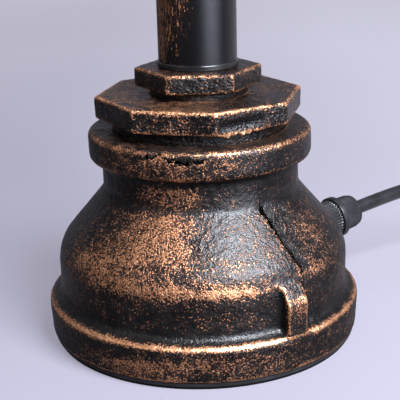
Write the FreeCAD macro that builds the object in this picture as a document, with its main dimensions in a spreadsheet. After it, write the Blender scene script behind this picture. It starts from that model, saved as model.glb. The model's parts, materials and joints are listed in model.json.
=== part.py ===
import FreeCAD, Part
import math
import os

import Sketcher

# Table lamp built from iron pipe fittings, in millimetres.
# The origin is the middle of the foot's underside. +Z is up, -Y is the front, +X is the arm's side.

V = FreeCAD.Vector
DOC = FreeCAD.newDocument("pipe_lamp")

SIZES = {
    # Three-quarter inch pipe and what all its fittings share
    "pipe_radius": 13.45,
    "pipe_bore": 10.8,
    "thread_radius": 12.9,
    "thread_shown": 2.5,
    "reach": 33.0,
    "socket_depth": 14.0,
    "fitting_radius": 16.4,
    "mouth_radius": 18.25,
    "mouth_length": 7.0,
    "mouth_round": 1.6,
    "bend_radius": 20.0,
    "waterway": 11.0,
    "leg_round": 1.0,
    "overrun": 1.0,
    "turn_gap": 0.05,
    "clear_gap": 0.3,
    # Foot
    "pad_radius": 53.6,
    "pad_thick": 1.2,
    "plate_radius": 54.3,
    "plate_thick": 1.2,
    "screw_circle": 48.6,
    "screw_radius": 2.0,
    "screw_head": 3.2,
    "screw_length": 9.0,
    # Bell reducer, three inch down to two inch
    "band_radius": 55.7,
    "band_draft": 0.7,
    "band_top": 15.2,
    "band_round": 2.2,
    "ledge_round": 2.6,
    "skirt_radius": 51.2,
    "shoulder_level": 33.5,
    "shoulder_round": 16.0,
    "neck_radius": 34.3,
    "neck_level": 53.3,
    "neck_round": 3.0,
    "collar_radius": 38.65,
    "collar_level": 64.2,
    "collar_top": 74.3,
    "collar_round": 1.9,
    "wide_bore": 43.0,
    "wide_bore_top": 34.5,
    "narrow_bore": 29.9,
    "narrow_bore_foot": 52.0,
    "rib_angle": 33.2,
    "rib_width": 8.0,
    "rib_root": 46.0,
    "rib_reach": 55.5,
    "rib_sunk": 4.0,
    "rib_top": 25.8,
    "rib_top_round": 2.0,
    "rib_meets": 48.4,
    "rib_meets_level": 35.8,
    "rib_meets_round": 3.0,
    # Octagonal bushing, two inch to one inch, and hexagonal bushing, one inch to three-quarter
    "octagon_foot": 78.3,
    "octagon_top": 86.1,
    "octagon_corner": 36.0,
    "octagon_angle": 8.0,
    "octagon_end": 59.0,
    "inch_thread": 16.65,
    "hexagon_foot": 88.4,
    "hexagon_top": 95.0,
    "hexagon_corner": 22.0,
    "hexagon_angle": 31.5,
    "hexagon_end": 69.0,
    "casting_round": 0.9,
    "ring_top": 97.1,
    "ring_radius": 13.9,
    "ring_round": 0.5,
    "pipe_end": 80.0,
    # Tee, union and upper elbow
    "tee_level": 285.0,
    "union_hex_foot": 320.0,
    "union_hex_top": 328.0,
    "union_hex_corner": 20.0,
    "union_barrel": 17.4,
    "union_thread": 20.9,
    "union_thread_foot": 331.0,
    "union_face": 342.5,
    "washer_thick": 1.0,
    "washer_radius": 18.4,
    "nut_corner": 25.6,
    "nut_foot": 329.5,
    "nut_lip": 347.0,
    "nut_top": 350.5,
    "tail_collar": 18.9,
    "tail_neck": 16.1,
    "tail_mouth": 353.0,
    "tail_top": 368.0,
    "nipple_foot": 354.5,
    "elbow_level": 404.0,
    "arm_reach": 130.0,
    "arm_pipe_short": 0.5,
    # Rotary dimmer in the tee's front mouth, measured outwards from the tee's centre
    "plug_thread_end": 19.5,
    "plug_face_gap": 0.4,
    "plug_hex_corner": 17.3,
    "plug_hex_face": 40.5,
    "plug_wall": 3.5,
    "plug_cup": 10.4,
    "dimmer_radius": 9.9,
    "dimmer_back": 24.0,
    "dimmer_round": 1.0,
    "lead_gap": 0.4,
    "lead_spread": 1.5,
    "bush_radius": 3.5,
    "bush_end": 46.0,
    "washer_small": 6.5,
    "washer_small_thick": 0.8,
    "nut_small_corner": 5.8,
    "nut_small_thick": 2.4,
    "shaft_radius": 3.0,
    "shaft_back": 30.0,
    "shaft_end": 61.0,
    "wheel_radius": 25.0,
    "wheel_rim": 3.3,
    "wheel_level": 51.5,
    "wheel_hub": 7.0,
    "wheel_hub_back": 48.0,
    "wheel_hub_face": 57.0,
    "wheel_back_round": 1.0,
    "wheel_face_round": 1.5,
    "wheel_spoke": 2.4,
    "wheel_nut_corner": 6.0,
    "wheel_nut_thick": 4.6,
    # Lamp holder and bulb, measured as levels
    "head_hex_foot": 361.5,
    "head_hex_top": 368.5,
    "head_hex_corner": 18.5,
    "head_core": 7.0,
    "head_thread_end": 384.0,
    "tube_radius": 5.0,
    "tube_bore": 3.5,
    "tube_foot": 344.0,
    "tube_top": 380.0,
    "cup_radius": 20.8,
    "cup_wall": 1.2,
    "cup_foot": 318.0,
    "cup_round": 6.0,
    "cup_nut_corner": 8.1,
    "cup_nut_thick": 3.0,
    "holder_radius": 18.6,
    "holder_top": 353.0,
    "holder_foot": 316.5,
    "holder_roof": 343.0,
    "holder_round": 4.0,
    "holder_rim": 1.0,
    "shell_radius": 14.0,
    "shell_wall": 0.45,
    "shell_foot": 319.0,
    "shell_top": 339.0,
    "contact_radius": 5.0,
    "contact_thick": 0.8,
    "cap_radius": 13.2,
    "cap_wall": 0.4,
    "cap_foot": 314.5,
    "cap_shoulder": 336.0,
    "cap_tip_radius": 4.6,
    "cap_tip": 341.5,
    "cap_button": 2.0,
    "cap_tip_wall": 2.5,
    "cap_step": 0.5,
    "glass_neck": 12.7,
    "glass_neck_top": 318.0,
    "glass_neck_foot": 296.0,
    "glass_radius": 33.0,
    "glass_widest": 232.0,
    "glass_foot": 201.0,
    "glass_foot_radius": 27.5,
    "glass_shoulder": 45.0,
    "glass_foot_round": 20.0,
    "glass_wall": 0.8,
    "stem_radius": 4.2,
    "stem_tip_radius": 1.6,
    "stem_top": 315.0,
    "stem_foot": 280.0,
    "stem_waist": 292.0,
    "stem_flare": 307.0,
    "stem_round": 6.0,
    "filament_radius": 0.9,
    "filament_circle": 7.5,
    "filament_top": 281.0,
    "filament_foot": 243.0,
    "support_radius": 0.45,
    # Cable gland, measured along its own axis from the middle of its ring
    "gland_x": 52.0,
    "gland_y": 33.5,
    "gland_level": 27.2,
    "gland_ring": 8.0,
    "gland_ring_half": 1.0,
    "gland_body": 7.1,
    "gland_seat": 12.6,
    "gland_seat_radius": 9.2,
    "gland_thread": 6.0,
    "gland_tail": 26.5,
    "gland_bore": 3.3,
    "gland_nose": 5.4,
    "gland_nose_bore": 4.2,
    "gland_nose_end": 4.6,
    "gland_cap_foot": 6.8,
    "gland_cap_tip": 6.1,
    "gland_cap_end": 9.7,
    "gland_cap_round": 1.7,
    "gland_mouth": 2.9,
    "gland_lip": 1.5,
    "gland_body_round": 0.3,
    "gland_ring_round": 0.4,
    "gland_nose_gap": 0.4,
    "insert_sunk": 0.5,
    "insert_proud": 0.2,
    "locknut_near": 24.6,
    "locknut_far": 21.4,
    "locknut_corner": 9.2,
    # Wiring
    "cord_radius": 2.7,
    "riser_radius": 2.5,
    "core_radius": 1.1,
    "block_length": 22.0,
    "block_width": 17.0,
    "block_height": 14.0,
    "block_round": 1.0,
    "block_tube": 2.6,
    "block_tube_bore": 1.6,
    "block_spacing": 8.0,
    "block_screw": 1.6,
    "block_tube_sunk": 1.0,
    "block_screw_sunk": 2.0,
    "cord_inside": 3.0,
    "riser_foot": 31.0,
    # Mains plug, flat two-pin
    "plug_length": 36.0,
    "plug_width": 35.0,
    "plug_neck": 17.0,
    "plug_thick": 13.7,
    "plug_grip": 12.0,
    "plug_corner": 3.0,
    "plug_edge": 1.6,
    "pin_spacing": 18.6,
    "pin_radius": 2.0,
    "pin_length": 19.0,
    "pin_round": 1.2,
    "pin_core": 1.5,
    "sleeve_radius": 1.9,
    "sleeve_length": 10.0,
    "relief_length": 25.0,
    "relief_inside": 2.0,
    "relief_wide": 4.9,
    "relief_narrow": 3.5,
    # Put-away coil of the mains cord
    "coil_x": 183.4,
    "coil_y": 75.2,
    "coil_inner": 24.0,
    "coil_pitch": 5.9,
    "coil_turns": 2.1,
    "coil_start": 122.7,
    "tie_thick": 0.6,
    "tie_width": 7.0,
    "tie_angle": 230.0,
    "tie_inner": 20.4,
    "tie_round": 1.2,
    "tie_side_gap": 0.5,
    "tie_top_gap": 0.4,
}

# Route of the cord from the gland to the coil: points after the first, in absolute millimetres
CORD_ROUTE = [
    (80.1, 51.6, 31.5), (96.0, 61.9, 30.8), (110.7, 71.5, 24.6), (125.4, 81.0, 14.6), (140.1, 90.5, 6.3),
]
# Route of the cord from the coil to the plug: points between the two ends
TAIL_ROUTE = [(209.8, 35.2, 15.2), (200.8, 24.5, 10.2), (189.3, 18.4, 7.8), (177.0, 16.7, 6.85)]
PLUG_ENTRY = (166.0, 16.7, 6.85)
# Level run that the cord keeps beyond each end of the coil
COIL_LEAD = 10.5
# Half the distance between the two cores where they leave a cable, and the straight run before they part
CORE_SIDE = 1.2
CORE_RUN = 6.0
# Last bend of each core before it enters the terminal block, from the block's end
MAINS_BEND = (9.0, 0.0, 2.0)
RISER_BEND = (-8.0, 0.0, 5.0)
# Distance from the head's axis to the place where the arm's cable meets the head's
CABLE_JOINT = 29.5
COIL_LAYERS = 4
# Share of a turn over which the coil climbs a layer, and the share left off at each of its ends
COIL_CLIMB = 0.5
COIL_TRIM = 0.02
SCREWS = 3
SPOKES = 5
FILAMENTS = 4


class Size:
    """A length or angle with its value and the sheet expression that gives the same value."""

    def __init__(self, value, text=None):
        self.value = float(value)
        self.text = text or f"{self.value:g}"

    def with_(self, other, sign, value):
        return Size(value, f"({self.text} {sign} {sized(other).text})")

    def __add__(self, other):
        return self.with_(other, "+", self.value + sized(other).value)

    def __sub__(self, other):
        return self.with_(other, "-", self.value - sized(other).value)

    def __mul__(self, other):
        return self.with_(other, "*", self.value * sized(other).value)

    def __truediv__(self, other):
        return self.with_(other, "/", self.value / sized(other).value)

    def __neg__(self):
        return Size(-self.value, f"(0 - {self.text})")


def sized(number):
    """A plain number as a Size, and a Size as it is."""
    return number if isinstance(number, Size) else Size(number)


class Sheet:
    """The spreadsheet of driving dimensions, with each alias as an attribute."""

    def __init__(self, sizes):
        sheet = DOC.addObject("Spreadsheet::Sheet", "sizes")
        for row, (alias, value) in enumerate(sizes.items(), 1):
            sheet.set(f"A{row}", alias)
            sheet.set(f"B{row}", str(value))
            sheet.setAlias(f"B{row}", alias)
            setattr(self, alias, Size(value, f"sizes.{alias}"))


S = Sheet(SIZES)
CASTING_FOOT = S.pad_thick + S.plate_thick
NODES = []


# Pieces, their planes and their places


def bind(item, prop, length):
    """Gives an object's property a size and the expression behind it."""
    item.setExpression(prop, sized(length).text)


def new_body(name, kept=True):
    """A new body. A kept one is a node of the lamp."""
    body = DOC.addObject("PartDesign::Body", name)
    body.Label = name
    if kept:
        NODES.append(body)
    return body


def origin_part(body, role):
    return next(item for item in body.Origin.OriginFeatures if item.Role == role)


def place(item, x=0, y=0, z=0, facing=(0, 0, 1), spin=0):
    """Spins a piece about its own Z axis, turns that axis to a direction, and sets the piece down."""
    turn = FreeCAD.Rotation(V(0, 0, 1), V(*facing)) * FreeCAD.Rotation(V(0, 0, 1), sized(spin).value)
    item.Placement = FreeCAD.Placement(V(sized(x).value, sized(y).value, sized(z).value), turn)
    for letter, length in (("x", x), ("y", y), ("z", z)):
        if sized(length).value:
            bind(item, f"Placement.Base.{letter}", length)
    return item


def new_sketch(body, role="XZ_Plane", up=0):
    """A sketch on one of the body's own planes, raised along its normal."""
    sketch = body.newObject("Sketcher::SketchObject", f"{body.Name}_outline")
    sketch.AttachmentSupport = [(origin_part(body, role), "")]
    sketch.MapMode = "FlatFace"
    sketch.AttachmentOffset = FreeCAD.Placement(V(0, 0, sized(up).value), FreeCAD.Rotation())
    if sized(up).value:
        bind(sketch, "AttachmentOffset.Base.z", up)
    return sketch


# Sketches


def hold(sketch, item, end, x, y):
    """Ties one point of a sketch to its distances from the sketch's origin."""
    for length, kind, axis in ((x, "DistanceX", -2), (y, "DistanceY", -1)):
        if abs(length.value) < 1e-9:
            sketch.addConstraint(Sketcher.Constraint("PointOnObject", item, end, axis))
        else:
            number = sketch.addConstraint(Sketcher.Constraint(kind, -1, 1, item, end, length.value))
            bind(sketch, f"Constraints[{number}]", length)


def outline(sketch, corners):
    """A closed outline through corners (x, y) or (x, y, round), each held to the sheet."""
    corners = [[sized(number) for number in corner] for corner in corners]
    points = [V(corner[0].value, corner[1].value, 0) for corner in corners]
    count = len(corners)
    rounds = {}
    for i, corner in enumerate(corners):
        if len(corner) == 3:
            back = (points[i - 1] - points[i]).normalize()
            ahead = (points[(i + 1) % count] - points[i]).normalize()
            half = back.getAngle(ahead) / 2
            cut = corner[2].value / math.tan(half)
            middle = points[i] + (back + ahead).normalize() * (corner[2].value / math.sin(half))
            left = back.cross(ahead).z < 0
            rounds[i] = (points[i] + back * cut, points[i] + ahead * cut, middle, left)
    for i in range(count):
        nxt = (i + 1) % count
        start = rounds[i][1] if i in rounds else points[i]
        stop = rounds[nxt][0] if nxt in rounds else points[nxt]
        sketch.addGeometry(Part.LineSegment(start, stop))
    for i, corner in enumerate(corners):
        before = (i - 1) % count
        if i not in rounds:
            sketch.addConstraint(Sketcher.Constraint("Coincident", before, 2, i, 1))
            hold(sketch, i, 1, corner[0], corner[1])
            continue
        begin, end, middle, left = rounds[i]
        first, last = (begin, end) if left else (end, begin)
        low = math.atan2(first.y - middle.y, first.x - middle.x)
        high = math.atan2(last.y - middle.y, last.x - middle.x)
        circle = Part.Circle(middle, V(0, 0, 1), corner[2].value)
        arc = sketch.addGeometry(Part.ArcOfCircle(circle, low, high if high > low else high + 2 * math.pi))
        tip = sketch.addGeometry(Part.Point(points[i]), True)
        sketch.addConstraint(Sketcher.Constraint("Tangent", before, 2, arc, 1 if left else 2))
        sketch.addConstraint(Sketcher.Constraint("Tangent", arc, 2 if left else 1, i, 1))
        radius = sketch.addConstraint(Sketcher.Constraint("Radius", arc, corner[2].value))
        bind(sketch, f"Constraints[{radius}]", corner[2])
        sketch.addConstraint(Sketcher.Constraint("PointOnObject", tip, 1, before))
        sketch.addConstraint(Sketcher.Constraint("PointOnObject", tip, 1, i))
        hold(sketch, tip, 1, corner[0], corner[1])
    return sketch


def circle(sketch, x, y, radius):
    """A circle whose middle and radius are held to the sheet."""
    x, y, radius = sized(x), sized(y), sized(radius)
    ring = sketch.addGeometry(Part.Circle(V(x.value, y.value, 0), V(0, 0, 1), radius.value))
    number = sketch.addConstraint(Sketcher.Constraint("Radius", ring, radius.value))
    bind(sketch, f"Constraints[{number}]", radius)
    hold(sketch, ring, 3, x, y)
    return sketch


def polygon(sketch, sides, corner):
    """A regular polygon about the sketch's origin, with its first corner on the X axis."""
    angles = [2 * math.pi * i / sides for i in range(sides)]
    points = [V(math.cos(angle), math.sin(angle), 0) * corner.value for angle in angles]
    for i in range(sides):
        sketch.addGeometry(Part.LineSegment(points[i], points[(i + 1) % sides]))
    ring = sketch.addGeometry(Part.Circle(V(), V(0, 0, 1), corner.value), True)
    sketch.addConstraint(Sketcher.Constraint("Coincident", ring, 3, -1, 1))
    number = sketch.addConstraint(Sketcher.Constraint("Radius", ring, corner.value))
    bind(sketch, f"Constraints[{number}]", corner)
    for i in range(sides):
        sketch.addConstraint(Sketcher.Constraint("Coincident", i, 2, (i + 1) % sides, 1))
        sketch.addConstraint(Sketcher.Constraint("PointOnObject", i, 1, ring))
    for i in range(1, sides):
        sketch.addConstraint(Sketcher.Constraint("Equal", 0, i))
    sketch.addConstraint(Sketcher.Constraint("PointOnObject", 0, 1, -1))
    return sketch


# Features


def turn(body, corners, role="XZ_Plane", about="V_Axis", cut=False):
    """Turns an outline about one of its sketch's axes, to add or to cut."""
    kind = "PartDesign::Groove" if cut else "PartDesign::Revolution"
    sketch = outline(new_sketch(body, role), corners)
    feature = body.newObject(kind, f"{body.Name}_turned")
    feature.Profile = sketch
    feature.ReferenceAxis = (sketch, [about])
    feature.Angle = 360
    return feature


def extrude(body, sketch, length, cut=False):
    """Pads a sketch along its normal, or cuts back against the normal."""
    feature = body.newObject("PartDesign::Pocket" if cut else "PartDesign::Pad", f"{body.Name}_straight")
    feature.Profile = sketch
    bind(feature, "Length", length)
    return feature


def prism(body, sides, corner, low, high):
    """A polygonal head between two levels."""
    return extrude(body, polygon(new_sketch(body, "XY_Plane", low), sides, corner), high - low)


def bore(body, radius, high, depth, x=0, y=0):
    """A round hole that goes down from a level."""
    return extrude(body, circle(new_sketch(body, "XY_Plane", high), x, y, radius), depth, cut=True)


def soften(body, radius, wanted, name="PartDesign::Fillet"):
    """Rounds the edges of a body that a test picks."""
    DOC.recompute()
    base = body.Tip
    edges = [f"Edge{i}" for i, edge in enumerate(base.Shape.Edges, 1) if wanted(edge)]
    feature = body.newObject(name, f"{body.Name}_soft")
    feature.Base = (base, edges)
    bind(feature, "Radius", radius)
    return feature


def repeat(body, features, count):
    """Repeats features evenly about the body's Z axis."""
    pattern = body.newObject("PartDesign::PolarPattern", f"{body.Name}_repeated")
    pattern.Originals = features
    pattern.Axis = (origin_part(body, "Z_Axis"), [""])
    pattern.Angle = 360
    pattern.Occurrences = count
    body.Tip = pattern
    return pattern


def straight_edge(edge, low=-math.inf, high=math.inf):
    """Whether an edge is straight and lies between two levels."""
    inside = low - 0.1 < edge.BoundBox.ZMin and edge.BoundBox.ZMax < high + 0.1
    return isinstance(edge.Curve, Part.Line) and inside


def group(name, bodies):
    """One node that holds several separate solids."""
    node = DOC.addObject("Part::Compound", name)
    node.Label = name
    node.Links = bodies
    NODES.append(node)
    return node


def rectangle(inner, outer, low, high, *edge):
    """The outline of a ring or disc, with its outer corners rounded where an edge is given."""
    return [(inner, low), (outer, low, *edge), (outer, high, *edge), (inner, high)]


def ring_part(name, inner, outer, low, high, *edge):
    """A plain or rounded ring about Z between two levels."""
    body = new_body(name)
    turn(body, rectangle(inner, outer, low, high, *edge))
    return body


def rod_part(name, radius, low, high, kept=True):
    """A plain round rod about Z between two levels."""
    body = new_body(name, kept)
    extrude(body, circle(new_sketch(body, "XY_Plane", low), 0, 0, radius), sized(high) - low)
    return body


def nut(name, corner, inner, low, high):
    """A plain hexagonal nut between two levels."""
    body = new_body(name)
    prism(body, 6, corner, low, high)
    bore(body, inner, high, high - low)
    return body


# Tubes that follow a path


def round_path(points, share=0.45):
    """Straight runs joined by tangent arcs, each as large as its two runs allow."""
    edges = []
    radii = []
    here = points[0]
    for before, corner, after in zip(points, points[1:], points[2:]):
        back, ahead = before - corner, after - corner
        cut = share * min(back.Length, ahead.Length)
        back.normalize()
        ahead.normalize()
        half = back.getAngle(ahead) / 2
        radius = cut * math.tan(half)
        middle = corner + (back + ahead).normalize() * (cut / math.cos(half))
        start, stop = corner + back * cut, corner + ahead * cut
        edges.append(Part.LineSegment(here, start).toShape())
        peak = middle + (corner - middle).normalize() * radius
        edges.append(Part.Arc(start, peak, stop).toShape())
        radii.append(radius)
        here = stop
    edges.append(Part.LineSegment(here, points[-1]).toShape())
    return Part.Wire(edges), radii


def biarc(start, along, stop, onward):
    """Two tangent arcs between two points with given directions."""
    chord = stop - start
    both = along + onward
    spread = 2 * (1 - along.dot(onward))
    reach = (-chord.dot(both) + math.sqrt(chord.dot(both) ** 2 + spread * chord.dot(chord))) / spread
    joint = (start + stop + (along - onward) * reach) * 0.5
    edges = []
    for first, last, direction in ((start, joint, along), (stop, joint, -onward)):
        span = last - first
        unit = V(span).normalize()
        half = direction.getAngle(unit) / 2
        peak = first + (direction + unit).normalize() * (span.Length / 2 / math.cos(half))
        edges.append((first, peak, last))
    second = edges[1]
    return [Part.Arc(*edges[0]).toShape(), Part.Arc(second[2], second[1], second[0]).toShape()]


def swept(name, path, radius, kept=True):
    """A round tube along a path."""
    first = path.OrderedEdges[0]
    start, along = first.valueAt(first.FirstParameter), first.tangentAt(first.FirstParameter)
    section = Part.Wire(Part.Circle(start, along, sized(radius).value).toShape())
    node = DOC.addObject("Part::Feature", name)
    node.Label = name
    node.Shape = path.makePipeShell([section], True, False)
    if kept:
        NODES.append(node)
    share = node.Shape.Volume / (math.pi * sized(radius).value ** 2 * path.Length)
    print(f"{name}: path {path.Length:.1f} mm, volume over section times length {share:.4f}")
    return node


def cable(name, points, radius, kept=True):
    """A round cable along rounded straight runs, with its bend radii printed."""
    path, radii = round_path([V(*point) for point in points])
    if radii:
        print(f"{name}: bend radii {[round(radius_, 1) for radius_ in radii]}")
    return swept(name, path, radius, kept)


# Foot


def make_foot():
    """Rubber pad, steel bottom plate and the countersunk screws that hold the plate to the casting."""
    plate = new_body("bottom_plate")
    turn(plate, rectangle(0, S.plate_radius, S.pad_thick, CASTING_FOOT))
    sink = plate.newObject("PartDesign::SubtractiveCone", "bottom_plate_sink")
    bind(sink, "Radius1", S.screw_head)
    bind(sink, "Radius2", S.screw_radius)
    bind(sink, "Height", S.plate_thick)
    sink.Placement.Base = V(S.screw_circle.value, 0, S.pad_thick.value)
    repeat(plate, [sink], SCREWS)

    pad = new_body("foot_pad")
    turn(pad, rectangle(0, S.pad_radius, 0, S.pad_thick))

    screws = []
    for i in range(SCREWS):
        screw = new_body(f"plate_screw_{i}", kept=False)
        top = S.pad_thick + S.screw_length
        turn(screw, [
            (0, S.pad_thick), (S.screw_head, S.pad_thick), (S.screw_radius, CASTING_FOOT),
            (S.screw_radius, top), (0, top),
        ])
        angle = math.radians(360 / SCREWS * i)
        place(screw, S.screw_circle * math.cos(angle), S.screw_circle * math.sin(angle))
        screws.append(screw)
    group("plate_screws", screws)


# Castings of the base


def gland_frame():
    """The gland's direction: back and to the right, and slightly upwards."""
    return V(0.834, 0.537, 0.127).normalize()


def along_gland(distance):
    return V(S.gland_x.value, S.gland_y.value, S.gland_level.value) + gland_frame() * sized(distance).value


def make_reducer():
    body = new_body("base_reducer")
    turn(body, [
        (S.wide_bore, CASTING_FOOT),
        (S.band_radius - S.band_draft, CASTING_FOOT),
        (S.band_radius, S.band_top, S.band_round),
        (S.skirt_radius, S.band_top, S.ledge_round),
        (S.skirt_radius, S.shoulder_level, S.shoulder_round),
        (S.neck_radius, S.neck_level, S.neck_round),
        (S.neck_radius, S.collar_level, S.collar_round),
        (S.collar_radius, S.collar_level, S.collar_round),
        (S.collar_radius, S.collar_top, S.collar_round),
        (S.narrow_bore, S.collar_top),
        (S.narrow_bore, S.narrow_bore_foot),
        (S.wide_bore, S.wide_bore_top),
    ])
    sketch = new_sketch(body, "XZ_Plane", -S.rib_width / 2)
    outline(sketch, [
        (S.rib_root, CASTING_FOOT),
        (S.skirt_radius, CASTING_FOOT),
        (S.skirt_radius, S.band_top - S.rib_sunk),
        (S.rib_reach, S.band_top - S.rib_sunk),
        (S.rib_reach, S.rib_top, S.rib_top_round),
        (S.rib_meets, S.rib_meets_level, S.rib_meets_round),
        (S.rib_root, S.rib_top),
    ])
    rib = extrude(body, sketch, S.rib_width)
    repeat(body, [rib], 2)
    hole = body.newObject("PartDesign::SubtractiveCylinder", "base_reducer_sink")
    bind(hole, "Radius", S.screw_radius)
    bind(hole, "Height", S.screw_length - S.plate_thick)
    spun = FreeCAD.Rotation(V(0, 0, 1), 90 - S.rib_angle.value)
    angled = spun.multVec(V(S.screw_circle.value, 0, CASTING_FOOT.value))
    hole.Placement.Base = angled
    repeat(body, [hole], SCREWS)
    place(body, spin=S.rib_angle - 90)
    back = body.Placement.inverse()
    for name, radius, start, end in (
        ("seat", S.gland_seat_radius, -S.gland_seat, Size(0)),
        ("hole", S.gland_thread, -S.gland_tail, Size(0)),
    ):
        cut = body.newObject("PartDesign::SubtractiveCylinder", f"base_reducer_{name}")
        bind(cut, "Radius", radius)
        bind(cut, "Height", end - start)
        turned = FreeCAD.Rotation(V(0, 0, 1), gland_frame())
        cut.Placement = back * FreeCAD.Placement(along_gland(start), turned)
    return body


def make_bushings():
    octagon = new_body("octagon_bushing")
    turn(octagon, [
        (S.inch_thread, S.octagon_end), (S.narrow_bore, S.octagon_end),
        (S.narrow_bore, S.octagon_foot + S.overrun), (S.inch_thread, S.octagon_foot + S.overrun),
    ])
    prism(octagon, 8, S.octagon_corner, S.octagon_foot, S.octagon_top)
    soften(octagon, S.casting_round, lambda edge: straight_edge(edge, low=S.octagon_foot.value))
    bore(octagon, S.inch_thread, S.octagon_top, S.octagon_top - S.octagon_end)
    place(octagon, spin=S.octagon_angle - 90)

    hexagon = new_body("hex_bushing")
    turn(hexagon, [
        (S.waterway, S.hexagon_end), (S.inch_thread, S.hexagon_end),
        (S.inch_thread, S.hexagon_foot + S.overrun), (S.waterway, S.hexagon_foot + S.overrun),
    ])
    prism(hexagon, 6, S.hexagon_corner, S.hexagon_foot, S.hexagon_top)
    soften(hexagon, S.casting_round, lambda edge: straight_edge(edge, low=S.hexagon_foot.value))
    bore(hexagon, S.waterway, S.hexagon_top, S.hexagon_top - S.hexagon_end)
    bore(hexagon, S.thread_radius, S.hexagon_top, S.hexagon_top - S.pipe_end + S.overrun)
    place(hexagon, spin=S.hexagon_angle - 90)

    ring_part("foot_ring", S.thread_radius, S.ring_radius, S.hexagon_top, S.ring_top, S.ring_round)


# Pipes and fittings


def pipe_part(name, start, shoulder, far_shoulder, end, kept=True):
    """A pipe about Z: threaded ends, and the full diameter between its two shoulders."""
    body = new_body(name, kept)
    turn(body, [
        (S.pipe_bore, start), (S.thread_radius, start), (S.thread_radius, shoulder),
        (S.pipe_radius, shoulder), (S.pipe_radius, far_shoulder),
        (S.thread_radius, far_shoulder), (S.thread_radius, end), (S.pipe_bore, end),
    ])
    return body


def mouth(low, face):
    """The outline of one leg of a fitting, from low out to its face, with the band at its mouth."""
    inner = face - S.mouth_length
    return [
        (0, low), (S.fitting_radius, low), (S.fitting_radius, inner, S.leg_round),
        (S.mouth_radius, inner, S.mouth_round), (S.mouth_radius, face, S.mouth_round), (0, face),
    ]


def swap(corners):
    """The same outline with its two directions changed over."""
    return [(corner[1], corner[0], *corner[2:]) for corner in corners]


def socket(face, thread, low):
    """The outline of the bore of one leg: its thread, then its waterway."""
    step = face - S.socket_depth
    return [(0, low), (S.waterway, low), (S.waterway, step), (thread, step), (thread, face), (0, face)]


def negated(corners):
    """The same outline on the other side of the origin, along its second direction."""
    return [(corner[0], -corner[1], *corner[2:]) for corner in corners]


def make_elbow(name, thread):
    """A quarter-turn elbow with one mouth down and one mouth towards its own +X."""
    body = new_body(name)
    turn(body, negated(mouth(S.bend_radius, S.reach)))
    quarter = FreeCAD.Rotation(V(-1, 0, 0), V(0, 0, 1), V(0, 1, 0), "ZXY")
    middle = FreeCAD.Placement(V(S.bend_radius.value, 0, -S.bend_radius.value), quarter)
    for kind, radius in (("Additive", S.fitting_radius), ("Subtractive", S.waterway)):
        if kind == "Subtractive":
            turn(body, swap(mouth(S.bend_radius, S.reach)), about="H_Axis")
        bend = body.newObject(f"PartDesign::{kind}Torus", f"{name}_bend")
        bind(bend, "Radius1", S.bend_radius)
        bind(bend, "Radius2", radius)
        bend.Angle3 = 90
        bend.Placement = middle
    inside = S.reach - S.socket_depth - S.overrun
    turn(body, negated(socket(S.reach, S.thread_radius, inside)), cut=True)
    turn(body, swap(socket(S.reach, thread, inside)), about="H_Axis", cut=True)
    return body


def make_tee():
    """A tee with its run upright and its branch towards the front."""
    body = new_body("tee")
    run = mouth(Size(0), S.reach)
    turn(body, run)
    turn(body, negated(run))
    front = [(-corner[1], corner[0], *corner[2:]) for corner in run]
    turn(body, front, role="YZ_Plane", about="H_Axis")
    run_bore = socket(S.reach, S.thread_radius, Size(0))
    turn(body, run_bore, cut=True)
    turn(body, negated(run_bore), cut=True)
    front_bore = [(-corner[1], corner[0]) for corner in run_bore]
    turn(body, front_bore, role="YZ_Plane", about="H_Axis", cut=True)
    place(body, z=S.tee_level)


def make_upright():
    pipe_part(
        "upright_pipe", S.pipe_end, S.ring_top,
        S.tee_level - S.reach - S.thread_shown, S.tee_level - S.reach + S.socket_depth,
    )
    make_tee()


def make_union():
    """The loosened union that the arm turns in: its lower half, washer and nut, and the tail above."""
    lower = new_body("union_body")
    top = S.tee_level + S.reach
    turn(lower, [
        (S.waterway, top - S.socket_depth), (S.thread_radius, top - S.socket_depth),
        (S.thread_radius, S.union_hex_foot), (S.union_barrel, S.union_hex_foot),
        (S.union_barrel, S.union_thread_foot), (S.union_thread, S.union_thread_foot),
        (S.union_thread, S.union_face), (S.waterway, S.union_face),
    ])
    prism(lower, 6, S.union_hex_corner, S.union_hex_foot, S.union_hex_top)
    bore(lower, S.waterway, S.union_hex_top, S.union_hex_top - S.union_hex_foot)
    ring_part("union_washer", S.waterway, S.washer_radius, S.union_face, S.union_face + S.washer_thick)

    ring = new_body("union_nut")
    prism(ring, 8, S.nut_corner, S.nut_foot, S.nut_top)
    soften(ring, S.casting_round, straight_edge)
    turn(ring, rectangle(0, S.union_thread, S.nut_foot, S.nut_lip), cut=True)
    bore(ring, S.tail_neck + S.clear_gap, S.nut_top, S.nut_top - S.nut_lip + S.overrun)

    tail = new_body("union_tail")
    foot = S.union_face + S.washer_thick + S.clear_gap
    turn(tail, [
        (S.waterway, foot), (S.tail_collar, foot), (S.tail_collar, S.nut_lip - S.clear_gap),
        (S.tail_neck, S.nut_lip - S.clear_gap), (S.tail_neck, S.tail_mouth),
        (S.mouth_radius, S.tail_mouth, S.mouth_round), (S.mouth_radius, S.tail_top, S.mouth_round),
        (S.thread_radius, S.tail_top), (S.thread_radius, S.tail_top - S.socket_depth),
        (S.waterway, S.tail_top - S.socket_depth),
    ])
    nipple_top = S.elbow_level - S.reach + S.socket_depth
    ring_part("short_nipple", S.pipe_bore, S.thread_radius, S.nipple_foot, nipple_top)


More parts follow.
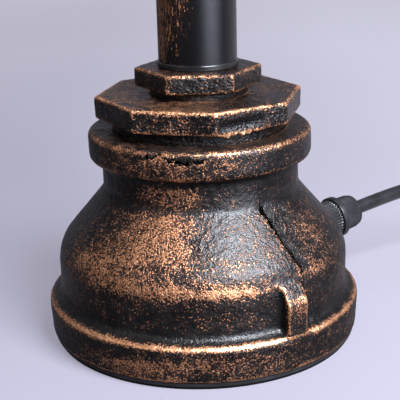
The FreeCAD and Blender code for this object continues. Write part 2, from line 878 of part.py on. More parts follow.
def make_arm():
    place(make_elbow("arm_elbow", S.thread_radius), z=S.elbow_level)
    pipe = pipe_part(
        "arm_pipe", S.reach - S.socket_depth, S.reach + S.thread_shown,
        S.arm_reach - S.reach - S.thread_shown, S.arm_reach - S.reach + S.socket_depth - S.arm_pipe_short,
    )
    place(pipe, z=S.elbow_level, facing=(1, 0, 0))
    outer = make_elbow("head_elbow", S.thread_radius + S.turn_gap)
    place(outer, x=S.arm_reach, z=S.elbow_level, spin=180)


# Rotary dimmer and its hand wheel


def to_front(body):
    """Turns a piece made about Z so that its axis leaves the tee's front mouth."""
    return place(body, z=S.tee_level, facing=(0, -1, 0))


def make_dimmer():
    plug = new_body("dimmer_bushing")
    face = S.reach + S.plug_face_gap
    turn(plug, rectangle(0, S.thread_radius, S.plug_thread_end, face))
    prism(plug, 6, S.plug_hex_corner, face, S.plug_hex_face)
    soften(plug, S.casting_round, lambda edge: straight_edge(edge, low=face.value))
    bore(plug, S.bush_radius, S.plug_hex_face, S.plug_hex_face - S.plug_thread_end)
    inner = S.plug_hex_face - S.plug_wall
    turn(plug, rectangle(0, S.plug_cup, S.plug_thread_end, inner), cut=True)
    to_front(plug)

    dimmer = new_body("dimmer_body")
    turn(dimmer, [
        (0, S.dimmer_back), (S.dimmer_radius, S.dimmer_back, S.dimmer_round), (S.dimmer_radius, inner),
        (S.bush_radius, inner), (S.bush_radius, S.bush_end), (0, S.bush_end),
    ])
    gap = S.shaft_radius + S.turn_gap
    bore(dimmer, gap, S.bush_end, S.bush_end - S.shaft_back + S.clear_gap)
    to_front(dimmer)

    washer_top = S.plug_hex_face + S.washer_small_thick
    to_front(ring_part("dimmer_washer", S.bush_radius, S.washer_small, S.plug_hex_face, washer_top))
    to_front(nut("dimmer_nut", S.nut_small_corner, S.bush_radius, washer_top, washer_top + S.nut_small_thick))

    leads = []
    for side in (-1, 1):
        near = S.riser_radius + S.lead_gap
        lead = rod_part(f"dimmer_lead_{side + 1}", S.core_radius, near, S.dimmer_back, kept=False)
        leads.append(place(lead, x=S.lead_spread * side, z=S.tee_level, facing=(0, -1, 0)))
    group("dimmer_leads", leads)

    to_front(rod_part("dimmer_shaft", S.shaft_radius, S.shaft_back, S.shaft_end))
    make_wheel()
    nut_foot = S.wheel_hub_face
    to_front(nut("wheel_nut", S.wheel_nut_corner, S.shaft_radius, nut_foot, nut_foot + S.wheel_nut_thick))


def make_wheel():
    """Valve wheel: a hub, five round spokes and a round rim."""
    wheel = new_body("hand_wheel")
    turn(wheel, [
        (0, S.wheel_hub_back), (S.wheel_hub, S.wheel_hub_back, S.wheel_back_round),
        (S.wheel_hub, S.wheel_hub_face, S.wheel_face_round), (0, S.wheel_hub_face),
    ])
    sketch = circle(new_sketch(wheel, "YZ_Plane"), 0, S.wheel_level, S.wheel_spoke)
    spoke = extrude(wheel, sketch, S.wheel_radius)
    repeat(wheel, [spoke], SPOKES)
    rim = wheel.newObject("PartDesign::Revolution", "hand_wheel_rim")
    rim.Profile = circle(new_sketch(wheel, "XZ_Plane"), S.wheel_radius, S.wheel_level, S.wheel_rim)
    rim.ReferenceAxis = (rim.Profile[0], ["V_Axis"])
    rim.Angle = 360
    bore(wheel, S.shaft_radius, S.wheel_hub_face, S.wheel_hub_face - S.wheel_hub_back)
    to_front(wheel)


# Lamp holder and bulb


def under_head(body):
    return place(body, x=S.arm_reach)


def make_holder():
    plug = new_body("head_bushing")
    turn(plug, [
        (0, S.head_hex_foot), (S.head_core, S.head_hex_foot), (S.head_core, S.head_hex_top),
        (S.thread_radius, S.head_hex_top), (S.thread_radius, S.head_thread_end), (0, S.head_thread_end),
    ])
    prism(plug, 6, S.head_hex_corner, S.head_hex_foot, S.head_hex_top)
    soften(plug, S.casting_round, lambda edge: straight_edge(edge, high=S.head_hex_top.value))
    bore(plug, S.tube_radius, S.head_thread_end, S.head_thread_end - S.head_hex_foot)
    under_head(plug)

    under_head(ring_part("head_tube", S.tube_bore, S.tube_radius, S.tube_foot, S.tube_top))

    cup = new_body("holder_cup")
    top = S.head_hex_foot
    nut_top = top - S.cup_wall
    inside = S.cup_radius - S.cup_wall
    turn(cup, [
        (S.tube_radius, nut_top), (inside, nut_top, S.cup_round - S.cup_wall), (inside, S.cup_foot),
        (S.cup_radius, S.cup_foot), (S.cup_radius, top, S.cup_round), (S.tube_radius, top),
    ])
    under_head(cup)
    under_head(nut("cup_nut", S.cup_nut_corner, S.tube_radius, nut_top - S.cup_nut_thick, nut_top))

    holder = new_body("lamp_holder")
    turn(holder, [
        (0, S.holder_roof), (S.shell_radius, S.holder_roof), (S.shell_radius, S.holder_foot),
        (S.holder_radius, S.holder_foot, S.holder_rim), (S.holder_radius, S.holder_top, S.holder_round),
        (0, S.holder_top),
    ])
    bore(holder, S.tube_radius, S.holder_top, S.holder_top - S.tube_foot)
    under_head(holder)

    shell = S.shell_radius - S.shell_wall
    under_head(ring_part("screw_shell", shell, S.shell_radius, S.shell_foot, S.shell_top))
    under_head(rod_part("centre_contact", S.contact_radius, S.holder_roof - S.contact_thick, S.holder_roof))


def make_bulb():
    cap = new_body("bulb_cap")
    inner = S.cap_radius - S.cap_wall
    tip = S.cap_tip
    turn(cap, [
        (inner, S.cap_foot), (S.cap_radius, S.cap_foot), (S.cap_radius, S.cap_shoulder),
        (S.cap_tip_radius, tip - S.cap_button), (S.cap_tip_radius, tip), (0, tip), (0, tip - S.cap_tip_wall),
        (inner, S.cap_shoulder - S.cap_step),
    ])
    under_head(cap)

    glass = new_body("bulb_glass")
    wall = S.glass_wall
    shoulder = S.glass_shoulder
    turn(glass, [
        (S.glass_neck - wall, S.glass_neck_top), (S.glass_neck, S.glass_neck_top),
        (S.glass_neck, S.glass_neck_foot, shoulder), (S.glass_radius, S.glass_widest, shoulder),
        (S.glass_foot_radius, S.glass_foot, S.glass_foot_round), (0, S.glass_foot), (0, S.glass_foot + wall),
        (S.glass_foot_radius - wall, S.glass_foot + wall, S.glass_foot_round - wall),
        (S.glass_radius - wall, S.glass_widest, shoulder - wall),
        (S.glass_neck - wall, S.glass_neck_foot, shoulder + wall),
    ])
    under_head(glass)

    stem = new_body("bulb_stem")
    turn(stem, [
        (0, S.stem_foot), (S.stem_tip_radius, S.stem_foot),
        (S.stem_tip_radius, S.stem_waist, S.stem_round), (S.stem_radius, S.stem_flare, S.stem_round),
        (S.stem_radius, S.stem_top), (0, S.stem_top),
    ])
    under_head(stem)

    filaments, supports = [], []
    for i in range(FILAMENTS):
        angle = math.radians(360 / FILAMENTS * (i + 0.5))
        x, y = S.filament_circle * math.cos(angle), S.filament_circle * math.sin(angle)
        filament = rod_part(f"filament_{i}", S.filament_radius, S.filament_foot, S.filament_top, kept=False)
        filaments.append(place(filament, x=S.arm_reach + x, y=y))
        support = rod_part(f"support_{i}", S.support_radius, S.stem_tip_radius, S.filament_circle, kept=False)
        facing = (math.cos(angle), math.sin(angle), 0)
        supports.append(place(support, x=S.arm_reach, z=S.filament_top + S.support_radius, facing=facing))
    group("filaments", filaments)
    group("filament_supports", supports)
    wire = new_body("filament_ring")
    ring = wire.newObject("PartDesign::AdditiveTorus", "filament_ring_wire")
    bind(ring, "Radius1", S.filament_circle)
    bind(ring, "Radius2", S.support_radius)
    place(wire, x=S.arm_reach, z=S.filament_foot - S.support_radius)


# Gland and wiring


def on_gland(body):
    """Turns a piece made about Z onto the gland's axis, with its zero at the middle of the ring."""
    return place(body, x=S.gland_x, y=S.gland_y, z=S.gland_level, facing=tuple(gland_frame()))


def make_gland():
    body = new_body("gland_body")
    half = S.gland_ring_half
    turn(body, [
        (S.gland_bore, -S.gland_tail), (S.gland_thread, -S.gland_tail), (S.gland_thread, -S.gland_seat),
        (S.gland_body, -S.gland_seat), (S.gland_body, -half, S.gland_body_round),
        (S.gland_ring, -half, S.gland_ring_round), (S.gland_ring, half, S.gland_ring_round),
        (S.gland_nose, half), (S.gland_nose, S.gland_nose_end),
        (S.gland_nose_bore, S.gland_nose_end), (S.gland_nose_bore, -half), (S.gland_bore, -half),
    ])
    on_gland(body)

    cap = new_body("gland_cap")
    end = S.gland_cap_end
    turn(cap, [
        (S.gland_nose, half), (S.gland_cap_foot, half), (S.gland_cap_tip, end, S.gland_cap_round),
        (S.gland_mouth, end), (S.gland_mouth, end - S.gland_lip),
        (S.gland_nose, S.gland_nose_end + S.gland_nose_gap),
    ])
    on_gland(cap)

    low, high = S.insert_sunk - half, S.gland_nose_end + S.insert_proud
    on_gland(ring_part("gland_insert", S.cord_radius, S.gland_nose_bore, low, high))
    on_gland(nut("gland_locknut", S.locknut_corner, S.gland_thread, -S.locknut_near, -S.locknut_far))


def make_terminals():
    """Two-way terminal block on the bottom plate, with its brass tubes and clamping screws."""
    block = new_body("terminal_block")
    foot = CASTING_FOOT
    sketch = new_sketch(block, "XY_Plane", foot)
    x, y, soft = S.block_length / 2, S.block_width / 2, S.block_round
    outline(sketch, [(-x, -y, soft), (x, -y, soft), (x, y, soft), (-x, y, soft)])
    extrude(block, sketch, S.block_height)
    level = foot + S.block_height / 2
    for side in (-1, 1):
        sketch = circle(new_sketch(block, "YZ_Plane", x), S.block_spacing / 2 * side, level, S.block_tube)
        extrude(block, sketch, S.block_length, cut=True)
    tubes, screws = [], []
    for side in (-1, 1):
        tube = new_body(f"terminal_tube_{side + 1}", kept=False)
        sunk = S.block_tube_sunk
        turn(tube, rectangle(S.block_tube_bore, S.block_tube, sunk, S.block_length - sunk))
        tubes.append(place(tube, x=-x, y=S.block_spacing / 2 * side, z=level, facing=(1, 0, 0)))
        for end in (-1, 1):
            spot = (x / 2 * end, S.block_spacing / 2 * side)
            bore(block, S.block_screw, foot + S.block_height, S.block_height / 2 - S.block_tube_bore, *spot)
            low, high = level + S.block_tube, foot + S.block_height - S.block_screw_sunk
            screw = rod_part(f"terminal_screw_{side + 1}_{end + 1}", S.block_screw, low, high, kept=False)
            screws.append(place(screw, *spot))
    group("terminal_tubes", tubes)
    group("terminal_screws", screws)
    return level.value


def make_wiring(level):
    """The cord's end inside the base, the cores at the terminals, and the cable up through the pipes."""
    inside = along_gland(-S.gland_tail - S.cord_inside)
    cable("cord_in_gland", [inside, along_gland(S.gland_cap_end)], S.cord_radius)
    gap = S.block_spacing.value / 2
    end = S.block_length.value / 2 - S.block_tube_sunk.value
    gland_back = gland_frame() * -1
    mains, riser = [], []
    for side in (-1, 1):
        terminal = V(end, gap * side, level)
        begin = inside + gland_frame().cross(V(0, 0, 1)).normalize() * (-CORE_SIDE * side)
        points = [begin, begin + gland_back * CORE_RUN, terminal + V(*MAINS_BEND), terminal]
        mains.append(cable(f"mains_core_{side + 1}", points, S.core_radius, kept=False))
        terminal = V(-end, gap * side, level)
        top = V(-CORE_SIDE, CORE_SIDE * side, S.riser_foot.value)
        points = [top, top - V(0, 0, CORE_RUN), terminal + V(*RISER_BEND), terminal]
        riser.append(cable(f"riser_core_{side + 1}", points, S.core_radius, kept=False))
    group("mains_cores", mains)
    group("riser_cores", riser)
    joint = S.union_face.value + S.washer_thick.value
    gap = S.clear_gap.value
    rod_part("riser_cable", S.riser_radius, S.riser_foot, Size(joint))
    level, arm = S.elbow_level.value, S.arm_reach.value
    hinge = arm - CABLE_JOINT
    cable("arm_cable", [(0, 0, joint + gap), (0, 0, level), (hinge, 0, level)], S.riser_radius)
    foot = S.tube_foot.value
    cable("head_cable", [(hinge + gap, 0, level), (arm, 0, level), (arm, 0, foot)], S.riser_radius)


# Mains plug


def make_plug():
    """Flat two-pin plug: its own Z leaves along the pins, and its origin is where the cord enters."""
    x, y, z = (sized(number) for number in PLUG_ENTRY)
    body = new_body("plug_body")
    start = S.relief_length
    end = start + S.plug_length
    wide, narrow, corner = S.plug_width / 2, S.plug_neck / 2, S.plug_corner
    sketch = new_sketch(body, "XZ_Plane", -S.plug_thick / 2)
    outline(sketch, [
        (-narrow, start, corner), (narrow, start, corner), (wide, end - S.plug_grip, corner * 2),
        (wide, end, corner / 2), (-wide, end, corner / 2), (-wide, end - S.plug_grip, corner * 2),
    ])
    extrude(body, sketch, S.plug_thick)
    flat = S.plug_thick.value / 2
    soften(body, S.plug_edge, lambda edge: abs(abs(edge.BoundBox.Center.y) - flat) < 0.01)
    root = start + S.relief_inside
    turn(body, [(0, 0), (S.relief_narrow, 0), (S.relief_wide, root), (0, root)])
    parts = {"plug_pins": [], "pin_sleeves": []}
    facing = (-1, 0, 0)
    for side in (-1, 1):
        pin = new_body(f"plug_pin_{side + 1}", kept=False)
        tip = S.pin_length
        turn(pin, [
            (0, 0), (S.pin_core, 0), (S.pin_core, S.sleeve_length), (S.pin_radius, S.sleeve_length),
            (S.pin_radius, tip, S.pin_round), (0, tip),
        ])
        sleeve = new_body(f"pin_sleeve_{side + 1}", kept=False)
        turn(sleeve, rectangle(S.pin_core, S.sleeve_radius, 0, S.sleeve_length))
        for piece, node in ((pin, "plug_pins"), (sleeve, "pin_sleeves")):
            place(piece, x=x - end, y=y + S.pin_spacing / 2 * side, z=z, facing=facing)
            parts[node].append(piece)
    place(body, x=x, y=y, z=z, facing=facing, spin=90)
    for node, pieces in parts.items():
        group(node, pieces)


# Mains cord: the free stretch, the put-away coil, the tail and the plug


def coil_point(turns):
    """The coil's centreline after so many turns: in and out at a steady rate, a layer up at each reversal."""
    pitch, per_layer = S.coil_pitch.value, S.coil_turns.value
    layer, within = divmod(turns, per_layer)
    inward = within if layer % 2 == 0 else per_layer - within
    radius = S.coil_inner.value + pitch * (per_layer - inward)
    climbed = 0
    for reversal in range(1, COIL_LAYERS):
        share = min(max((turns - reversal * per_layer) / COIL_CLIMB + 0.5, 0), 1)
        climbed += share * share * (3 - 2 * share)
    angle = math.radians(S.coil_start.value - 360 * turns)
    low = S.tie_thick.value + S.cord_radius.value
    middle = V(S.coil_x.value, S.coil_y.value, low + pitch * climbed)
    return middle + V(radius * math.cos(angle), radius * math.sin(angle), 0)


def coil_direction(turns, step=0.01):
    return (coil_point(turns + step) - coil_point(turns - step)).normalize()


def make_coil():
    """The coil's one unbroken tube, with a straight end at each side."""
    whole = COIL_LAYERS * S.coil_turns.value - COIL_TRIM
    pieces = math.ceil(whole * 4)
    marks = [COIL_TRIM + (whole - COIL_TRIM) * i / pieces for i in range(pieces + 1)]
    straight = 2 * S.cord_radius.value
    start, stop = coil_point(marks[0]), coil_point(marks[-1])
    before, after = coil_direction(marks[0]), coil_direction(marks[-1])
    edges = [Part.LineSegment(start - before * straight, start).toShape()]
    for low, high in zip(marks, marks[1:]):
        edges += biarc(coil_point(low), coil_direction(low), coil_point(high), coil_direction(high))
    edges.append(Part.LineSegment(stop, stop + after * straight).toShape())
    swept("mains_cord_coil", Part.Wire(edges), S.cord_radius)
    print_least_gap(edges)
    return (start - before * straight, before), (stop + after * straight, after)


def print_least_gap(edges, step=3.0):
    """Prints the least gap between the coil's tube and itself, measured between points on its centreline."""
    points, run, travelled = [], [], 0.0
    for edge in edges:
        count = max(2, math.ceil(edge.Length / step))
        for point in edge.discretize(count + 1)[:-1]:
            points.append(point)
        run += [travelled + edge.Length * i / count for i in range(count)]
        travelled += edge.Length
    far = 6 * S.cord_radius.value
    least = min(
        points[i].distanceToPoint(points[j])
        for i in range(len(points)) for j in range(i + 1, len(points)) if run[j] - run[i] > far
    )
    print(f"mains_cord_coil: least gap to itself {least - 2 * S.cord_radius.value:.2f} mm")


def make_tie():
    """A flat tie round the bundle of turns, resting on what the lamp stands on."""
    tie = new_body("cord_tie")
    low, inner = S.tie_thick, S.tie_inner
    outer = S.coil_inner + S.coil_pitch * S.coil_turns + S.cord_radius + S.tie_side_gap
    top = S.tie_thick + S.coil_pitch * (COIL_LAYERS - 1) + S.cord_radius * 2 + S.tie_top_gap
    for grow, side, cut in ((low, -1, False), (0, 1, True)):
        sketch = new_sketch(tie, "XZ_Plane", S.tie_width / 2 * side)
        corners = rectangle(inner - grow, outer + grow, low - grow, top + grow)
        outline(sketch, [(*corner, S.tie_round / 2 if cut else S.tie_round) for corner in corners])
        extrude(tie, sketch, S.tie_width, cut=cut)
    place(tie, x=S.coil_x, y=S.coil_y, spin=S.tie_angle)


def make_cord():
    (start, inward), (stop, outward) = make_coil()
    make_tie()
    before, after = start - inward * COIL_LEAD, stop + outward * COIL_LEAD
    gland_end = along_gland(S.gland_cap_end)
    cable("mains_cord", [gland_end, *CORD_ROUTE, before, start], S.cord_radius)
    cable("mains_cord_tail", [stop, after, *TAIL_ROUTE, PLUG_ENTRY], S.cord_radius)
    make_plug()


def check():
    """Stops if an object failed, or if a node's shape is missing or faulty."""
    DOC.recompute()
    failed = [item.Name for item in DOC.Objects if {"Invalid", "Error"} & set(item.State)]
    shapes = {node.Label: node.Shape for node in NODES}
    faulty = [name for name, shape in shapes.items() if not shape.isValid() or not shape.Solids]
    sketches = DOC.findObjects("Sketcher::SketchObject")
    loose = [sketch.Name for sketch in sketches if not sketch.FullyConstrained]
    if failed or faulty:
        raise SystemExit(f"failed: {failed}, faulty: {faulty}")
    print(f"{len(NODES)} nodes, sketches not fully held: {loose}")


def export():
    os.makedirs("parts", exist_ok=True)
    for node in NODES:
        node.Shape.exportStep(f"parts/{node.Label}.step")


make_foot()
make_reducer()
make_bushings()
make_upright()
make_union()
make_arm()
make_dimmer()
make_holder()
make_bulb()
make_gland()
make_wiring(make_terminals())
make_cord()
check()
export()
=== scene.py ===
import json
import math

import bpy
import numpy as np
from mathutils import Matrix, Vector, noise


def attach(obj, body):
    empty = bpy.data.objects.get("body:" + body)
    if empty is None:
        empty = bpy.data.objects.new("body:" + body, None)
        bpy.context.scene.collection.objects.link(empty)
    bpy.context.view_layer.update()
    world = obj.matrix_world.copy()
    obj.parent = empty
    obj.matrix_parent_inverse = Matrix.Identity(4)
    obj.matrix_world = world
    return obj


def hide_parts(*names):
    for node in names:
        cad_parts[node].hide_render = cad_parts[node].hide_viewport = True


MM = 0.001
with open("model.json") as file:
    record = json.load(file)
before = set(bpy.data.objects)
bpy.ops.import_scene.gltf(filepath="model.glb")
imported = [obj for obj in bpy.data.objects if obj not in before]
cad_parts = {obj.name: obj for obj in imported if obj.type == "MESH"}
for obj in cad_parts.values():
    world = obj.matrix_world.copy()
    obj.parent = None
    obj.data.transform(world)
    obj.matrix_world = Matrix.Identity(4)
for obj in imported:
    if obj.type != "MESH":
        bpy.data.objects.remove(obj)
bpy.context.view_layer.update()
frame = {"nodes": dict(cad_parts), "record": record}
NODES = frame["nodes"]

# Camera at the photograph's place, in millimetres and degrees
CAMERA_PLACE = (0.0, -352.0, 160.5)
CAMERA_PITCH, CAMERA_YAW, CAMERA_ROLL = 17.95, -0.08, -1.5
CAMERA_LENS, CAMERA_SENSOR, CAMERA_CLIP = 93.6, 36.0, 10.0

# Cord: its length is in metres, all else in millimetres. The route's points are those of the CAD source
CORD_RADIUS, CORD_LENGTH = 2.7, 1.8
CORD_DIVISIONS = 6
GLAND_EXIT = (60.09, 38.71, 28.43)
CORD_ROUTE = [
    (80.1, 51.6, 31.5), (96.0, 61.9, 30.8), (110.7, 71.5, 24.6), (125.4, 81.0, 14.6), (140.1, 90.5, 6.3),
]
TAIL_ROUTE = [(209.8, 35.2, 15.2), (200.8, 24.5, 10.2), (189.3, 18.4, 7.8), (177.0, 16.7, 6.85)]
PLUG_ENTRY = (166.0, 16.7, 6.85)

# Coil: the angle in degrees at which it starts, its inner radius, the step from turn to turn, and its layers
# with the turns in each. A climb to the next layer takes half a turn
COIL_CENTRE, COIL_FLOOR = (183.4, 75.2), 3.3
COIL_START, COIL_INNER, COIL_PITCH = 122.7, 24.0, 5.9
COIL_LAYERS, COIL_TURNS, COIL_CLIMB = 4, 2.1, 0.5
# Turns left off at its ends, the straight runs beyond them, and the control points in each turn
COIL_TRIM, COIL_STRAIGHT, COIL_LEAD, COIL_POINTS = 0.02, 5.4, 10.5, 15

# Gland: centre of its ring and the direction in which the cord leaves
GLAND_CENTRE, GLAND_AXIS = (52.0, 33.5, 27.2), (0.834, 0.537, 0.127)
# Its turned pieces: sides, length of a step along the profile, and length over which a grip rib fades out
TURNED_SIDES, TURNED_STEP, RIB_FADE = 288, 0.35, 0.5

# Skin of the castings. Bends are in 1/mm and noise scales in 1/m, and the rounds are those of smoothing
EASE_ROUNDS = 2
EDGE_BEND, EDGE_RANGE, EDGE_BASE, EDGE_LUMP = 0.18, 0.42, 0.85, 0.45
NEAR_ROUNDS, NEAR_GAIN, NEAR_WEAR = 10, 2.0, 0.13
HOLLOW_ROUNDS, HOLLOW_BEND, HOLLOW_WEAR = 6, 0.35, -0.5
COARSE_SCALE, LUMP_SCALE = 420, 75
SEED_SHIFT = (7.13, 3.77, 5.31)

# Copper dabbed on the base's castings. A dab is the azimuth of its middle, from the front, its spread in
# degrees, the level of its middle, its reach up and down, and its amount. The least is the amount all over
BELL_LEAST = 0.08
BELL_DABS = [
    (-16, 32, 31.6, 2.9, 0.44), (16, 18, 31.2, 2.2, 0.40), (47, 9, 33.0, 2.2, 0.42), (-52, 14, 36, 4.5, 0.28),
    (-30, 22, 41, 8.5, 0.39), (-10, 12, 44, 8.0, 0.20), (10, 14, 38, 4.0, 0.16), (54, 14, 42, 6.0, 0.28),
    (24, 11, 44, 8.0, 0.15), (-22, 20, 52, 6.0, 0.28), (-18, 20, 60, 5.0, 0.34), (10, 16, 22, 4.0, 0.12),
    (-65, 16, 24, 10.0, 0.14), (-26, 34, 69, 4.5, 0.22), (12, 16, 70, 3.5, 0.18), (-5, 70, 73.5, 1.2, 0.16),
    (-26, 18, 7.0, 3.0, 0.46), (-4, 14, 9.5, 3.0, 0.30), (18, 14, 8.0, 4.0, 0.26), (52, 14, 9.0, 4.0, 0.10),
    (0, 80, 14.5, 0.65, 0.85), (36, 6, 26.6, 1.5, 0.50), (35, 5, 23, 4.0, 0.22),
    (165, 30, 31.8, 2.8, 0.42), (-132, 20, 32.0, 2.8, 0.40), (-150, 20, 42, 8.0, 0.32),
    (155, 14, 43, 7.0, 0.26), (120, 14, 46, 7.0, 0.24), (-115, 16, 52, 6.0, 0.26), (175, 16, 58, 5.0, 0.22),
    (-145, 6, 26.6, 1.5, 0.45), (180, 24, 9.0, 3.0, 0.26), (-112, 18, 8.0, 3.0, 0.30),
    (118, 16, 7.5, 3.0, 0.24), (160, 16, 22, 4.0, 0.14), (-120, 14, 22, 5.0, 0.14),
    (180, 75, 14.5, 0.65, 0.75), (150, 30, 69, 4.5, 0.20), (-140, 30, 68, 4.5, 0.22),
    (180, 70, 73.5, 1.2, 0.16),
]
OCTAGON_LEAST = 0.05
OCTAGON_DABS = [
    (-14.5, 17, 82, 4.0, 0.22), (75, 12, 82, 4.0, 0.16), (24, 11, 78.0, 0.8, 0.60), (24, 9, 81.5, 1.4, -0.30),
    (-12, 50, 86.3, 0.9, 0.28), (120, 50, 86.3, 0.9, 0.10), (-110, 50, 86.3, 0.9, 0.20),
    (165, 20, 82, 4.0, 0.24), (-120, 16, 82, 4.0, 0.20),
]
HEXAGON_LEAST = 0.04
HEXAGON_DABS = [(-58, 16, 91.5, 3.0, 0.10), (-30, 60, 95.1, 0.8, 0.16), (170, 40, 91.5, 3.0, 0.14)]

# Mould line on the bell's front: azimuths at its foot and top, the levels between which it runs, and how fast
# it is left behind above them and below a margin
SEAM_AZIMUTHS, SEAM_LEVELS = (39.5, 33.0), (34.0, 53.0)
SEAM_MARGIN, SEAM_FADE = 1, 1.2
# Cold lap under the top edge of the bell's collar: degrees from the front to the left, half its width in
# degrees, its level, the height and number of its waves, and how fast it is left behind past its ends
COLLAR_FOOT = 62
LAP_LEFT, LAP_SPREAD, LAP_LEVEL = 13, 14, 71.6
LAP_WAVE, LAP_WAVES, LAP_FADE = 0.9, 13, 0.6
# Step at the mould line: height and softness, the levels at its foot and top with the lengths over which it
# comes and goes, its least radius, and the azimuth from which it comes in with the sweep that this takes
STEP_HEIGHT, STEP_SOFTNESS = 0.55, 0.35
STEP_FOOT, STEP_RISE, STEP_TOP, STEP_FALL = 33, 3, 58, 4
STEP_RADIUS, STEP_AZIMUTH, STEP_SWEEP = 33, -25, 60

# Right front face of the octagon: its azimuths with the sweeps over which its unevenness comes and goes, its
# least radius with the length over which this comes, and the level, reach and size of its hollow and its lip
FACE_LEFT, FACE_COMES, FACE_RIGHT, FACE_GOES = 9, 3, 40, 9
FACE_RADIUS, FACE_EDGE = 30, 2
HOLLOW_LEVEL, HOLLOW_REACH, HOLLOW_DEPTH = 81.2, 1.7, 0.9
LIP_LEVEL, LIP_REACH, LIP_HEIGHT, LIP_DROP = 78.3, 1.0, 0.5, 1.1

# Union: levels of its collar's middle and of the nut's top, radii that tell the tail's neck, its collar and
# the nut's bore from the rest, and how far tail and nut keep clear of each other
UNION_COLLAR, UNION_NUT_TOP = 345.3, 351.6
NECK_FROM, COLLAR_FROM, BORE_TO = 14, 16.6, 17.6
TAIL_EASE, TAIL_SQUEEZE, NUT_EASE, EASE_LENGTH = 0.55, 0.16, 0.35, 0.8

# Sheet: half its side in metres, the tones in which it is seen far off, near the lamp and under the key
# light, and its colours where it stays dark, where it shows a shadow and where it throws light back. The
# near tone also spreads to the lamp's left, as painted shade
SHEET_REACH = 9
FAR_TONE, NEAR_TONE, KEY_TONE = (0.52, 0.51, 0.61, 1), (0.275, 0.265, 0.335, 1), (0.50, 0.49, 0.58, 1)
DARK_SHEET, SHADED_SHEET = (0.012, 0.012, 0.014, 1), (0.11, 0.107, 0.13, 1)
BOUNCING_SHEET = (0.35, 0.34, 0.40, 1)
# The world's light, where it isn't seen
DIM_TONE = (0.024, 0.024, 0.028, 1)
# Lamps, which all point at the foot: name, place and size in metres, watts and colour
KEY_PLACE = (0.36, -0.45, 0.60)
LAMP_TARGET = (0.0, 0.0, 0.05)
LAMPS = [
    ("right_box", KEY_PLACE, (0.44, 0.44), 29.0, (0.88, 0.91, 1.0)),
    ("right_low", (0.46, -0.50, 0.14), (0.50, 0.22), 2.7, (0.78, 0.83, 1.0)),
    ("left_box", (-0.55, -0.42, 0.38), (0.35, 0.45), 0.6, (1.0, 0.97, 0.94)),
    ("top_box", (-0.05, 0.25, 0.95), (0.7, 0.5), 1.9, (0.97, 0.98, 1.0)),
]


def collect(obj):
    bpy.context.scene.collection.objects.link(obj)
    return obj


# Camera


def make_camera():
    pitch, yaw, roll = (math.radians(angle) for angle in (CAMERA_PITCH, CAMERA_YAW, CAMERA_ROLL))
    forward = Vector((math.sin(yaw) * math.cos(pitch), math.cos(yaw) * math.cos(pitch), -math.sin(pitch)))
    level = Vector((math.cos(yaw), -math.sin(yaw), 0))
    upright = level.cross(forward)
    right = level * math.cos(roll) + upright * math.sin(roll)
    up = upright * math.cos(roll) - level * math.sin(roll)
    camera = collect(bpy.data.objects.new("camera", bpy.data.cameras.new("camera")))
    camera.data.lens = CAMERA_LENS
    camera.data.sensor_width = CAMERA_SENSOR
    camera.data.clip_start = CAMERA_CLIP * MM
    turn = Matrix((right, up, -forward)).transposed().to_4x4()
    camera.matrix_world = Matrix.Translation(Vector(CAMERA_PLACE) * MM) @ turn
    bpy.context.scene.camera = camera


# Nodes


class Nodes:
    """A node tree that is built by adding and joining nodes."""

    def __init__(self, tree):
        self.tree = tree

    def add(self, kind, **inputs):
        """A node of a kind. Its settings and inputs go by name, with _ for a space, or by at and number."""
        node = self.tree.nodes.new("ShaderNode" + kind)
        for name, value in inputs.items():
            if hasattr(node, name):
                setattr(node, name, value)
            else:
                self.feed(node, name, value)
        return node

    def feed(self, node, name, value):
        """An input joined to a socket, or set to a number or tuple."""
        index = int(name[2:]) if name.startswith("at") and name[2:].isdigit() else name.replace("_", " ")
        socket = node.inputs[index]
        if isinstance(value, bpy.types.NodeSocket):
            self.tree.links.new(value, socket)
        else:
            socket.default_value = value

    def math(self, operation, first, second=0.0, clamp=False):
        return self.add("Math", operation=operation, use_clamp=clamp, at0=first, at1=second).outputs[0]

    def times(self, first, second):
        return self.math("MULTIPLY", first, second)

    def total(self, first, *others):
        for other in others:
            first = self.math("ADD", first, other)
        return first

    def span(self, value, low, high, new_low=0.0, new_high=1.0, soft=True):
        """A value from low to high spread from new_low to new_high, and held beyond."""
        kind = "SMOOTHSTEP" if soft else "LINEAR"
        return self.add("MapRange", interpolation_type=kind, Value=value, From_Min=low, From_Max=high,
                        To_Min=new_low, To_Max=new_high).outputs[0]

    def mix(self, share, first, second):
        return self.add("Mix", data_type="RGBA", at0=share, at6=first, at7=second).outputs[2]


class Material(Nodes):
    """A node material with its shader."""

    def __init__(self, name):
        self.data = bpy.data.materials.new(name)
        self.data.use_nodes = True
        super().__init__(self.data.node_tree)
        self.shader = self.tree.nodes["Principled BSDF"]

    def set(self, **inputs):
        for name, value in inputs.items():
            self.feed(self.shader, name, value)

    def coordinates(self):
        return self.add("TexCoord").outputs["Object"]

    def noise(self, scale, detail=3.0, rough=0.55, stretch=(1, 1, 1), **more):
        place = self.add("Mapping", Vector=self.coordinates(), Scale=stretch).outputs[0]
        return self.add("TexNoise", Vector=place, Scale=scale, Detail=detail, Roughness=rough,
                        **more).outputs["Fac"]

    def swing(self, field, weight):
        """A noise's swing to both sides of its middle."""
        return self.times(self.math("SUBTRACT", field, 0.5), weight)

    def ramp(self, value, *stops):
        node = self.add("ValToRGB", Fac=value)
        ramp = node.color_ramp
        while len(ramp.elements) < len(stops):
            ramp.elements.new(0.5)
        for element, (position, colour) in zip(ramp.elements, stops):
            element.position = position
            element.color = (*colour, 1)
        return node.outputs[0]

    def bump(self, height, depth):
        return self.add("Bump", Height=height, Strength=1.0, Distance=depth).outputs[0]

    def attribute(self, name):
        return self.add("Attribute", attribute_name=name).outputs["Fac"]


def paint(obj, material):
    obj.data.materials.clear()
    obj.data.materials.append(material.data)


